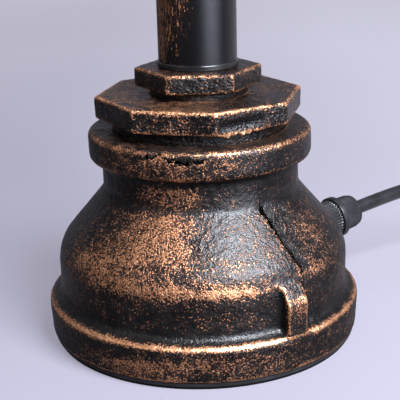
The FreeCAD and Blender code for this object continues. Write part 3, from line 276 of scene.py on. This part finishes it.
def paint_node(name, material):
    mesh = NODES[name].data
    for index in range(len(mesh.materials)):
        mesh.materials[index] = material.data


# Cord


def coil_point(turns, swell=1.0):
    """The coil's centreline after so many turns, in millimetres."""
    layer, within = divmod(turns, COIL_TURNS)
    inward = within if layer % 2 == 0 else COIL_TURNS - within
    radius = (COIL_INNER + COIL_PITCH * (COIL_TURNS - inward)) * swell
    climbed = 0.0
    for reversal in range(1, COIL_LAYERS):
        share = min(max((turns - reversal * COIL_TURNS) / COIL_CLIMB + 0.5, 0), 1)
        climbed += share * share * (3 - 2 * share)
    angle = math.radians(COIL_START - 360 * turns)
    middle = Vector((*COIL_CENTRE, COIL_FLOOR + COIL_PITCH * climbed))
    return middle + Vector((radius * math.cos(angle), radius * math.sin(angle), 0))


def cord_points():
    """The spline's control points: gland, route, coil, tail and plug.

    A quadratic spline runs inside the control points of a turn, so these stand out by the swell.
    """
    first, last = COIL_TRIM, COIL_LAYERS * COIL_TURNS - COIL_TRIM
    step = COIL_TRIM / 2
    inward = (coil_point(first + step) - coil_point(first - step)).normalized()
    outward = (coil_point(last + step) - coil_point(last - step)).normalized()
    start = coil_point(first) - inward * COIL_STRAIGHT
    stop = coil_point(last) + outward * COIL_STRAIGHT
    count = round((last - first) * COIL_POINTS)
    swell = 1 / (0.75 + 0.25 * math.cos(2 * math.pi / COIL_POINTS))
    turns = [coil_point(first + (last - first) * (i + 0.5) / count, swell) for i in range(count)]
    points = [GLAND_EXIT, *CORD_ROUTE, start - inward * COIL_LEAD, start, *turns]
    points += [stop, stop + outward * COIL_LEAD, *TAIL_ROUTE, PLUG_ENTRY]
    return [Vector(point) * MM for point in points]


def make_cord(material):
    curve = bpy.data.curves.new("power_cord", "CURVE")
    curve.dimensions = "3D"
    spline = curve.splines.new("NURBS")
    points = cord_points()
    spline.points.add(len(points) - 1)
    for target, point in zip(spline.points, points):
        target.co = (*point, 1)
    spline.order_u = 3
    spline.use_endpoint_u = True
    curve.resolution_u = CORD_DIVISIONS
    curve.bevel_depth = CORD_RADIUS * MM
    curve.bevel_resolution = CORD_DIVISIONS
    curve.use_fill_caps = True
    cord = collect(bpy.data.objects.new("power_cord", curve))
    paint(cord, material)
    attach(cord, "base")
    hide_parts("mains_cord", "mains_cord_coil", "mains_cord_tail")


# Materials


def soft_plastic(name, colour, roughness, grain=2200, depth=0.00002, coat=0.0, specular=0.5):
    """Moulded plastic or rubber: nearly even, with a fine grain and faint handling marks."""
    material = Material(name)
    marks = material.noise(120, 4)
    handled = (*(value * 1.5 + 0.001 for value in colour), 1)
    tone = material.mix(material.span(marks, 0.3, 0.7), (*colour, 1), handled)
    rough = material.span(marks, 0.3, 0.7, roughness - 0.05, roughness + 0.07)
    material.set(Base_Color=tone, Roughness=rough, Normal=material.bump(material.noise(grain, 2), depth),
                 Coat_Weight=coat, Coat_Roughness=0.12, Specular_IOR_Level=specular)
    return material


def metal(name, colour, roughness):
    """Bright or plated metal with a fine grain and slight tarnish."""
    material = Material(name)
    grain = material.noise(900, 4, 0.6)
    tarnish = material.times(material.span(material.noise(90, 4), 0.35, 0.75), 0.45)
    tone = material.mix(tarnish, (*colour, 1), (*(value * 0.55 for value in colour), 1))
    rough = material.span(grain, 0.3, 0.7, roughness - 0.08, roughness + 0.1)
    material.set(Base_Color=tone, Metallic=1.0, Roughness=rough, Normal=material.bump(grain, 0.00001))
    return material


def cast_material(name="rubbed_casting", depth=0.0006, shine=0.34, gloss=0.26, seamed=False):
    """Black lacquer on rough iron, with copper dabbed on its edges and on the tops of its grain.

    The wear attribute says how much of the skin the copper covers. depth is that of the pits, in metres,
    shine and gloss are the lacquer's specular level and roughness, and seamed adds the open mould line
    and the collar's lap: a bumped groove painted black and mirroring nothing, which is painted shade in
    the crack, with copper on its lip and fewer copper specks on a strip along its other side.
    """
    material = Material(name)
    grain, fine, peel = (material.noise(scale, 2, 0.5) for scale in (1600, 2900, 430))
    worms = material.math("ABSOLUTE", material.math("SUBTRACT", material.noise(1000, 1, 0.4), 0.5))
    patch = material.noise(150, 4, 0.6, (1, 1, 2.2))
    rub = material.total(
        material.attribute("wear"), material.times(material.attribute("relief"), 0.16),
        material.span(worms, 0.0, 0.10, 0.14, -0.10, soft=False), material.swing(grain, 1.75),
        material.swing(fine, 0.8), material.swing(peel, 0.5), material.swing(patch, 0.5),
    )
    height = material.total(material.noise(850, 2, 0.55), material.times(peel, 0.5),
                            material.times(grain, 0.45))
    if seamed:
        line = material.total(material.attribute("seam"), material.swing(material.noise(420, 3, 0.75), 7.0))
        # The groove along the line is bumped in here, and is also painted black further down as shade in the
        # crack
        groove_painted_shade = material.math("SUBTRACT", 1.0, material.span(material.math("ABSOLUTE", line), 0.28, 0.85))
        lip = material.times(material.span(line, -2.4, -0.7), material.span(line, -0.2, -0.7))
        # Fewer copper specks on a strip along the line's other side, which leaves that strip darker
        darker_strip = material.times(material.span(line, 5.0, 0.8), material.span(line, 0.0, 0.4))
        rub = material.total(rub, material.times(lip, 0.30), material.times(groove_painted_shade, -1.2),
                             material.times(darker_strip, -0.18))
        height = material.total(height, material.times(groove_painted_shade, -2.5))
    mask = material.span(rub, 0.34, 0.72)
    haze = material.span(rub, 0.14, 0.60, 0.0, 0.40)
    thick = material.total(material.span(rub, 0.42, 1.35, soft=False),
                           material.span(fine, 0.3, 0.7, -0.12, 0.12))
    copper = material.ramp(
        thick, (0.02, (0.20, 0.080, 0.036)), (0.30, (0.50, 0.225, 0.110)), (0.90, (0.86, 0.48, 0.27))
    )
    black = material.ramp(patch, (0.3, (0.0018, 0.0017, 0.0020)), (0.7, (0.0048, 0.0040, 0.0038)))
    dusty = material.mix(haze, black, (0.046, 0.020, 0.011, 1))
    rough = material.total(material.span(mask, 0.0, 1.0, gloss, 0.36, soft=False),
                           material.span(patch, 0.3, 0.7, -0.04, 0.08))
    height = material.total(height, material.times(mask, 0.18))
    tone = material.mix(mask, dusty, copper)
    metallic = material.span(mask, 0.1, 0.9, 0.0, 0.85, soft=False)
    # Painted shade: the groove is painted near-black and made fully metallic, so it mirrors nothing and shows
    # as a dark crack
    if seamed:
        tone = material.mix(groove_painted_shade, tone, (0.0015, 0.0015, 0.0015, 1))
        metallic = material.math("MAXIMUM", metallic, groove_painted_shade)
    material.set(Base_Color=tone, Roughness=rough, Specular_IOR_Level=shine, Metallic=metallic,
                 Normal=material.bump(height, depth))
    return material


def pipe_material(name="streaked_pipe", left_only=True):
    """Smooth black pipe with copper dragged along it in thin streaks.

    left_only is for the upright: its streaks are on its left side, with more of them higher up.
    """
    material = Material(name)
    streak = material.noise(2100, 3, 0.7, (1, 1, 0.12), Distortion=0.7)
    speck = material.noise(1700, 2, 0.5, (1, 1, 0.5))
    patch = material.noise(150, 4, 0.6, (1, 1, 0.35))
    rub = material.total(material.swing(streak, 2.4), material.swing(speck, 1.3), material.swing(patch, 1.6))
    if left_only:
        place = material.add("SeparateXYZ", Vector=material.coordinates()).outputs
        rub = material.total(rub, material.span(place[0], 0.002, -0.0125, -0.50, 0.26),
                             material.span(place[2], 0.098, 0.122, -0.10, 0.10))
    mask = material.span(rub, 0.30, 0.46)
    haze = material.span(rub, -0.10, 0.32, 0.0, 0.45)
    copper = material.ramp(
        material.noise(600, 3),
        (0.3, (0.17, 0.070, 0.032)), (0.6, (0.42, 0.190, 0.090)), (0.8, (0.80, 0.46, 0.26)),
    )
    dusty = material.mix(haze, (0.0022, 0.0020, 0.0026, 1), (0.040, 0.016, 0.008, 1))
    height = material.total(material.times(mask, 0.5), material.noise(3000, 2, 0.6))
    material.set(Base_Color=material.mix(mask, dusty, copper), Metallic=material.times(mask, 0.8),
                 Roughness=material.span(mask, 0.0, 1.0, 0.26, 0.38, soft=False), Specular_IOR_Level=0.50,
                 Normal=material.bump(height, 0.00007))
    return material


def glass_material():
    material = Material("clear_glass")
    smear = material.span(material.noise(60, 3), 0.3, 0.8, 0.0, 0.04)
    material.set(Base_Color=(1.0, 0.97, 0.92, 1), Roughness=smear, IOR=1.46, Transmission_Weight=1.0,
                 Normal=material.bump(material.noise(35, 2), 0.00004))
    return material


def filament_material():
    material = Material("filament_coat")
    glow = material.span(material.noise(300, 2), 0.3, 0.7, 0.85, 1.0)
    tone = material.mix(glow, (0.95, 0.55, 0.14, 1), (1.0, 0.72, 0.28, 1))
    material.set(Base_Color=tone, Roughness=0.45, Emission_Color=tone, Emission_Strength=0.6,
                 Subsurface_Weight=0.2)
    return material


# Meshes


def smooth_shading(mesh):
    for polygon in mesh.polygons:
        polygon.use_smooth = True


def mesh_piece(name, vertices, faces):
    mesh = bpy.data.meshes.new(name)
    mesh.from_pydata(vertices, [], faces)
    mesh.validate()
    smooth_shading(mesh)
    return collect(bpy.data.objects.new(name, mesh))


def read(items, field):
    """A vector from each of a mesh's vertices or normals, as an array."""
    values = np.empty(len(items) * 3)
    items.foreach_get(field, values)
    return values.reshape(-1, 3)


def write(mesh, points):
    mesh.vertices.foreach_set("co", points.ravel())
    mesh.update()


def store(mesh, name, values):
    layer = mesh.attributes.new(name, "FLOAT", "POINT")
    layer.data.foreach_set("value", np.ascontiguousarray(values, dtype=np.float32))


def remeshed(name, node, voxel):
    """One even, dense mesh over a CAD node, as a new object."""
    source = NODES[node].data
    vertices = [tuple(vertex.co) for vertex in source.vertices]
    rough = mesh_piece(name + "_rough", vertices, [list(polygon.vertices) for polygon in source.polygons])
    weld = rough.modifiers.new("weld", "WELD")
    weld.merge_threshold = 1e-6
    modifier = rough.modifiers.new("remesh", "REMESH")
    modifier.mode = "VOXEL"
    modifier.voxel_size = voxel * MM
    evaluated = rough.evaluated_get(bpy.context.evaluated_depsgraph_get())
    mesh = bpy.data.meshes.new_from_object(evaluated)
    mesh.name = name
    bpy.data.objects.remove(rough)
    return collect(bpy.data.objects.new(name, mesh))


class Web:
    """A mesh's edges, for spreading values from each vertex to its neighbours."""

    def __init__(self, mesh):
        edges = np.empty(len(mesh.edges) * 2, dtype=np.int64)
        mesh.edges.foreach_get("vertices", edges)
        self.first, self.second = edges[0::2], edges[1::2]
        self.size = len(mesh.vertices)
        self.count = np.bincount(edges, minlength=self.size).astype(float)

    def mean(self, values):
        if values.ndim == 2:
            return np.stack([self.mean(column) for column in values.T], axis=1)
        total = np.bincount(self.first, weights=values[self.second], minlength=self.size)
        total += np.bincount(self.second, weights=values[self.first], minlength=self.size)
        return total / self.count

    def smooth(self, values, rounds):
        for _ in range(rounds):
            values = values * 0.5 + self.mean(values) * 0.5
        return values


def sample(points, scale, seed):
    """Noise from -1 to 1 at each point, with features about 1 / scale metres across."""
    shift = Vector([value * seed for value in SEED_SHIFT])
    return np.array([noise.noise(Vector(point) * scale + shift) for point in points])


def weathered(name, node, body, material, voxel=0.8, grain=0.11, lumps=0.16, seed=1, wear=0.22, edges=0.74,
              strokes=None, shape=None, seam=None):
    """A rough-cast copy of a CAD node: edges eased, skin uneven, and the wear stored for the material.

    voxel, grain and lumps are the mesh's step and the skin's unevenness in millimetres. wear is how much
    copper there is all over, and edges how much the corners add. Of the functions of points in millimetres,
    strokes gives more copper at each, shape moves the eased points, and seam gives the distance from the
    mould line.
    """
    piece = remeshed(name, node, voxel)
    mesh = piece.data
    web = Web(mesh)
    points = web.smooth(read(mesh.vertices, "co"), EASE_ROUNDS) / MM
    if shape:
        points = shape(points)
    write(mesh, points * MM)
    outward = read(mesh.vertex_normals, "vector")
    bend = ((points - web.mean(points)) * outward).sum(axis=1) * 4 / voxel ** 2
    sharp = np.clip((web.smooth(bend, 1) - EDGE_BEND) / EDGE_RANGE, 0, 1)
    near = np.clip(web.smooth(sharp, NEAR_ROUNDS) * NEAR_GAIN, 0, 1)
    hollow = np.clip(-web.smooth(bend, HOLLOW_ROUNDS) / HOLLOW_BEND, 0, 1)
    coarse = sample(points * MM, COARSE_SCALE, seed)
    lump = sample(points * MM, LUMP_SCALE, seed + 4)
    write(mesh, (points + outward * (coarse * grain + lump * lumps)[:, None]) * MM)
    amount = wear + edges * sharp * (EDGE_BASE + EDGE_LUMP * lump) + NEAR_WEAR * near + HOLLOW_WEAR * hollow
    if strokes:
        amount += strokes(points)
    store(mesh, "wear", amount)
    store(mesh, "relief", coarse)
    if seam:
        store(mesh, "seam", seam(points))
    smooth_shading(mesh)
    paint(piece, material)
    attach(piece, body)
    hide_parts(node)


def gland_piece(name, node, profile, rib, bore, material):
    """A turned piece of the gland, from (along, radius) steps of its profile and closed round its bore.

    rib is (low, high, count, depth): grip ribs as radial waves between two distances along the axis.
    """
    axis = Vector(GLAND_AXIS).normalized()
    side = axis.cross(Vector((0, 0, 1))).normalized()
    other = axis.cross(side)
    low, high, waves, depth = rib
    steps = [(profile[0][0], bore)]
    for (start, first), (stop, second) in zip(profile, profile[1:]):
        count = max(1, round(math.hypot(stop - start, second - first) / TURNED_STEP))
        for i in range(count):
            steps.append((start + (stop - start) * i / count, first + (second - first) * i / count))
    steps += [profile[-1], (profile[-1][0], bore)]
    vertices, faces = [], []
    for along, radius in steps:
        ribbed = low < along < high and radius > bore
        fade = min((along - low) / RIB_FADE, (high - along) / RIB_FADE, 1.0) if ribbed else 0.0
        for k in range(TURNED_SIDES):
            angle = 2 * math.pi * k / TURNED_SIDES
            reach = radius - depth * fade * (0.5 - 0.5 * math.cos(angle * waves))
            outward = side * math.cos(angle) + other * math.sin(angle)
            vertices.append(tuple((Vector(GLAND_CENTRE) + axis * along + outward * reach) * MM))
    for ring in range(len(steps)):
        here, there = ring * TURNED_SIDES, (ring + 1) % len(steps) * TURNED_SIDES
        for k in range(TURNED_SIDES):
            ahead = (k + 1) % TURNED_SIDES
            faces.append((here + k, here + ahead, there + ahead, there + k))
    piece = mesh_piece(name, vertices, faces)
    piece.data.update()
    paint(piece, material)
    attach(piece, "base")
    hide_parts(node)


# Shapes and wear of the castings, as functions of points in millimetres


def azimuth(points):
    """Degrees round the upright's axis from the front, positive to the right."""
    return np.degrees(np.arctan2(points[:, 0], -points[:, 1]))


def distance(points):
    """Distance from the upright's axis."""
    return np.hypot(points[:, 0], points[:, 1])


def rising(value, length):
    """From 0 to 1 as a value rises from 0 to a length."""
    return np.clip(value / length, 0, 1)


def pushed(points, amount):
    """Points moved away from the upright's axis, each by its amount."""
    moved = points.copy()
    moved[:, :2] += points[:, :2] / np.maximum(distance(points), 1)[:, None] * amount[:, None]
    return moved


def dabbed(dabs, least):
    """The wear that dabs add up to, as a function."""
    def strokes(points):
        around, level = azimuth(points), points[:, 2]
        total = np.full(len(points), least)
        for middle, spread, height, reach, amount in dabs:
            apart = (around - middle + 180) % 360 - 180
            total += amount * np.exp(-(apart / spread) ** 2 - ((level - height) / reach) ** 2)
        return total
    return strokes


def seam_offset(points):
    """Distance along the skin from the mould line or, on the collar, the lap, and more past their ends."""
    around, level = azimuth(points), points[:, 2]
    (foot, top), (low, high) = SEAM_AZIMUTHS, SEAM_LEVELS
    line = foot + (top - foot) * np.clip((level - low) / (high - low), 0, 1)
    offset = np.radians(around - line) * distance(points)
    past = np.clip(low - SEAM_MARGIN - level, 0, None) + np.clip(level - high, 0, None)
    offset += np.sign(offset) * past * SEAM_FADE
    lap = level - LAP_LEVEL - LAP_WAVE * np.sin(np.radians(around * LAP_WAVES))
    lap += np.sign(lap) * np.clip(np.abs(around + LAP_LEFT) - LAP_SPREAD, 0, None) * LAP_FADE
    return np.where(level > COLLAR_FOOT, lap, offset)


def bell_shape(points):
    """The skin to the left of the mould line stands a little proud."""
    level = points[:, 2]
    rise = rising(level - STEP_FOOT, STEP_RISE) * rising(STEP_TOP - level, STEP_FALL)
    rise *= distance(points) > STEP_RADIUS
    proud = STEP_HEIGHT * rise / (1 + np.exp(seam_offset(points) / STEP_SOFTNESS))
    return pushed(points, proud * rising(azimuth(points) - STEP_AZIMUTH, STEP_SWEEP))


def octagon_shape(points):
    """The right front face is hollow above a ragged lip where metal ran out between the mould's halves."""
    around, level = azimuth(points), points[:, 2]
    reach = rising(around - FACE_LEFT, FACE_COMES) * rising(FACE_RIGHT - around, FACE_GOES)
    reach *= rising(distance(points) - FACE_RADIUS, FACE_EDGE)
    ragged = 0.55 + 0.25 * np.sin(around * 0.55) + 0.20 * np.sin(around * 1.31 + 1)
    hollow = np.exp(-((level - HOLLOW_LEVEL) / HOLLOW_REACH) ** 2)
    lip = np.exp(-((level - LIP_LEVEL) / LIP_REACH) ** 2) * ragged
    moved = pushed(points, reach * (LIP_HEIGHT * lip - HOLLOW_DEPTH * hollow))
    moved[:, 2] -= LIP_DROP * reach * lip
    return moved


def tail_shape(points):
    """The tail's neck and collar keep clear of the nut, so that their uneven skins don't meet as it turns."""
    level, radius = points[:, 2], distance(points)
    within = rising(UNION_NUT_TOP - level, EASE_LENGTH) * (radius > NECK_FROM)
    moved = pushed(points, -TAIL_EASE * within)
    moved[:, 2] += (UNION_COLLAR - level) * TAIL_SQUEEZE * within * (radius > COLLAR_FROM)
    return moved


def nut_shape(points):
    """The nut's bore is a little wide round the tail's neck."""
    within = (points[:, 2] > UNION_COLLAR) * (distance(points) < BORE_TO)
    return pushed(points, NUT_EASE * within)


# Stage and light


def make_stage():
    """A wide pale sheet. Camera and transmission rays see its tone, even but for painted shade to the left of
    the lamp; glossy rays see it bright only behind the lamp and to its right and faint elsewhere, and others
    see its dim colour.
    """
    corners = [(x * SHEET_REACH, y * SHEET_REACH, 0) for x, y in ((-1, -1), (1, -1), (1, 1), (-1, 1))]
    sheet = mesh_piece("backdrop", corners, [(0, 1, 2, 3)])
    material = Material("paper")
    spot = material.coordinates()
    place = material.add("SeparateXYZ", Vector=spot).outputs
    away = material.add("VectorMath", operation="LENGTH", at0=spot).outputs[1]
    near = material.span(away, 0.60, 0.0, 0.0, 0.6, soft=False)
    # Painted shade: the glow darkens towards the near tone to the left of the lamp, the side away from the
    # key light
    left = material.times(material.span(place[0], 0.14, -0.10, 0.0, 0.45, soft=False),
                          material.span(away, 1.4, 0.6))
    across, along = (material.math("SUBTRACT", place[i], KEY_PLACE[i]) for i in (0, 1))
    apart = material.total(material.times(across, across), material.times(along, along))
    clear = material.span(material.math("SQRT", apart), 0.22, 0.50)
    glow = material.mix(material.total(near, left), FAR_TONE, NEAR_TONE)
    glow = material.mix(clear, KEY_TONE, glow)
    paths = material.add("LightPath").outputs
    behind = material.span(place[1], -0.06, 0.06, 0.12, 1.0)
    right = material.span(place[0], -0.30, 0.05, 0.12, 1.0)
    mirrored = material.times(paths["Is Glossy Ray"], material.times(behind, right))
    seen = material.math("MAXIMUM", paths["Is Camera Ray"], mirrored)
    seen = material.math("MAXIMUM", seen, paths["Is Transmission Ray"])
    lit = material.mix(paths["Is Diffuse Ray"], DARK_SHEET, BOUNCING_SHEET)
    shown = material.mix(clear, DARK_SHEET, SHADED_SHEET)
    tone = material.mix(paths["Is Camera Ray"], lit, shown)
    material.set(Base_Color=tone, Roughness=0.8, Specular_IOR_Level=0.1, Emission_Color=glow,
                 Emission_Strength=seen, Normal=material.bump(material.noise(900, 3), 0.00003))
    paint(sheet, material)


def make_world():
    """Dim light all round. The camera sees the sheet's tone, and metal sees it low down behind the lamp."""
    world = bpy.data.worlds.new("studio")
    bpy.context.scene.world = world
    world.use_nodes = True
    tree = Nodes(world.node_tree)
    paths = tree.add("LightPath").outputs
    towards = tree.add("SeparateXYZ", Vector=tree.add("TexCoord").outputs["Generated"]).outputs
    low = tree.math("SUBTRACT", 1.0, tree.times(towards[2], 1.6), clamp=True)
    rear = tree.math("MULTIPLY", towards[1], 0.8, clamp=True)
    mirrored = tree.times(tree.times(low, rear), paths["Is Glossy Ray"])
    seen = tree.math("MAXIMUM", paths["Is Camera Ray"], paths["Is Transmission Ray"])
    seen = tree.math("MAXIMUM", seen, mirrored)
    tree.feed(world.node_tree.nodes["Background"], "Color", tree.mix(seen, DIM_TONE, FAR_TONE))


def make_lamps():
    for name, place, size, power, colour in LAMPS:
        data = bpy.data.lights.new(name, "AREA")
        data.shape = "RECTANGLE"
        data.size, data.size_y = size
        data.energy = power
        data.color = colour
        lamp = collect(bpy.data.objects.new(name, data))
        lamp.location = place
        lamp.rotation_euler = (Vector(LAMP_TARGET) - Vector(place)).to_track_quat("-Z", "Y").to_euler()


# Build

make_camera()
black_cable = soft_plastic("cable_sheath", (0.012, 0.012, 0.013), 0.24, grain=1400, depth=0.00001, coat=0.3)
make_cord(black_cable)

cast = cast_material()
bell_cast = cast_material("rubbed_bell", depth=0.00027, shine=0.37, gloss=0.36, seamed=True)
satin_black = soft_plastic("moulded_black", (0.009, 0.009, 0.010), 0.32)
matt_rubber = soft_plastic("black_rubber", (0.004, 0.004, 0.004), 0.70, specular=0.12)
nickel = metal("nickel_plate", (0.74, 0.71, 0.66), 0.22)
FINISHES = {
    "cast_iron": cast,
    "pipe": pipe_material(),
    "steel": metal("zinc_steel", (0.52, 0.53, 0.56), 0.34),
    "black_steel": satin_black,
    "brass": metal("drawn_brass", (0.80, 0.60, 0.28), 0.26),
    "plated_brass": nickel,
    "support_wire": nickel,
    "black_plastic": satin_black,
    "white_plastic": soft_plastic("white_plastic", (0.72, 0.72, 0.69), 0.42),
    "rubber": matt_rubber,
    "tie": matt_rubber,
    "cord_sheath": black_cable,
    "core_sheath": soft_plastic("core_sheath", (0.05, 0.13, 0.42), 0.35),
    "glass": glass_material(),
    "filament": filament_material(),
}
for part in frame["record"]["subparts"]:
    if part["node"] in NODES:
        paint_node(part["node"], FINISHES[part["material_slot"]])
paint_node("foot_ring", soft_plastic("glossy_black", (0.007, 0.0065, 0.0065), 0.20))
streaked_arm = pipe_material("streaked_arm", left_only=False)
paint_node("short_nipple", streaked_arm)
paint_node("arm_pipe", streaked_arm)

weathered("cast_bell", "base_reducer", "base", bell_cast, voxel=0.75, seed=1, wear=0.0,
          strokes=dabbed(BELL_DABS, BELL_LEAST), shape=bell_shape, seam=seam_offset)
weathered("cast_octagon", "octagon_bushing", "base", cast, voxel=0.6, seed=2, wear=0.0, edges=0.54,
          strokes=dabbed(OCTAGON_DABS, OCTAGON_LEAST), shape=octagon_shape)
weathered("cast_hexagon", "hex_bushing", "base", cast, voxel=0.5, grain=0.08, lumps=0.1, seed=3, wear=0.0,
          edges=0.36, strokes=dabbed(HEXAGON_DABS, HEXAGON_LEAST))
weathered("cast_tee", "tee", "base", cast, seed=4)
weathered("cast_union", "union_body", "base", cast, voxel=0.7, grain=0.1, lumps=0.15, seed=5)
weathered("cast_union_nut", "union_nut", "base", cast, voxel=0.6, grain=0.1, lumps=0.12, seed=6,
          shape=nut_shape)
weathered("cast_dimmer_bushing", "dimmer_bushing", "base", cast, voxel=0.6, grain=0.08, lumps=0.1, seed=7)
weathered("cast_union_tail", "union_tail", "arm", cast, voxel=0.7, grain=0.1, lumps=0.15, seed=8,
          shape=tail_shape)
weathered("cast_arm_elbow", "arm_elbow", "arm", cast, seed=9)
weathered("cast_head_elbow", "head_elbow", "head", cast, seed=10)
weathered("cast_head_bushing", "head_bushing", "head", cast, voxel=0.6, grain=0.08, lumps=0.1, seed=11)
weathered("cast_cup", "holder_cup", "head", cast, voxel=0.6, grain=0.08, lumps=0.12, seed=12, wear=0.16)
weathered("cast_wheel", "hand_wheel", "switch_knob", cast, voxel=0.5, grain=0.1, lumps=0.12, seed=13)

gland_piece("gland_grip", "gland_body",
            [(-12.6, 4.6), (-12.6, 7.1), (-1.2, 7.1), (-1.0, 8.0), (1.0, 8.0), (1.0, 5.4), (8.4, 5.4)],
            (-12.7, -1.1, 36, 0.45), 3.4, satin_black)
gland_piece("gland_nut", "gland_cap",
            [(1.0, 5.4), (1.0, 6.8), (7.2, 6.5), (9.0, 6.0), (9.7, 4.6), (9.7, 2.9), (8.2, 2.9)],
            (1.4, 8.4, 48, 0.30), 5.4, satin_black)

make_stage()
make_world()
make_lamps()
bpy.context.scene.view_settings.view_transform = "Standard"
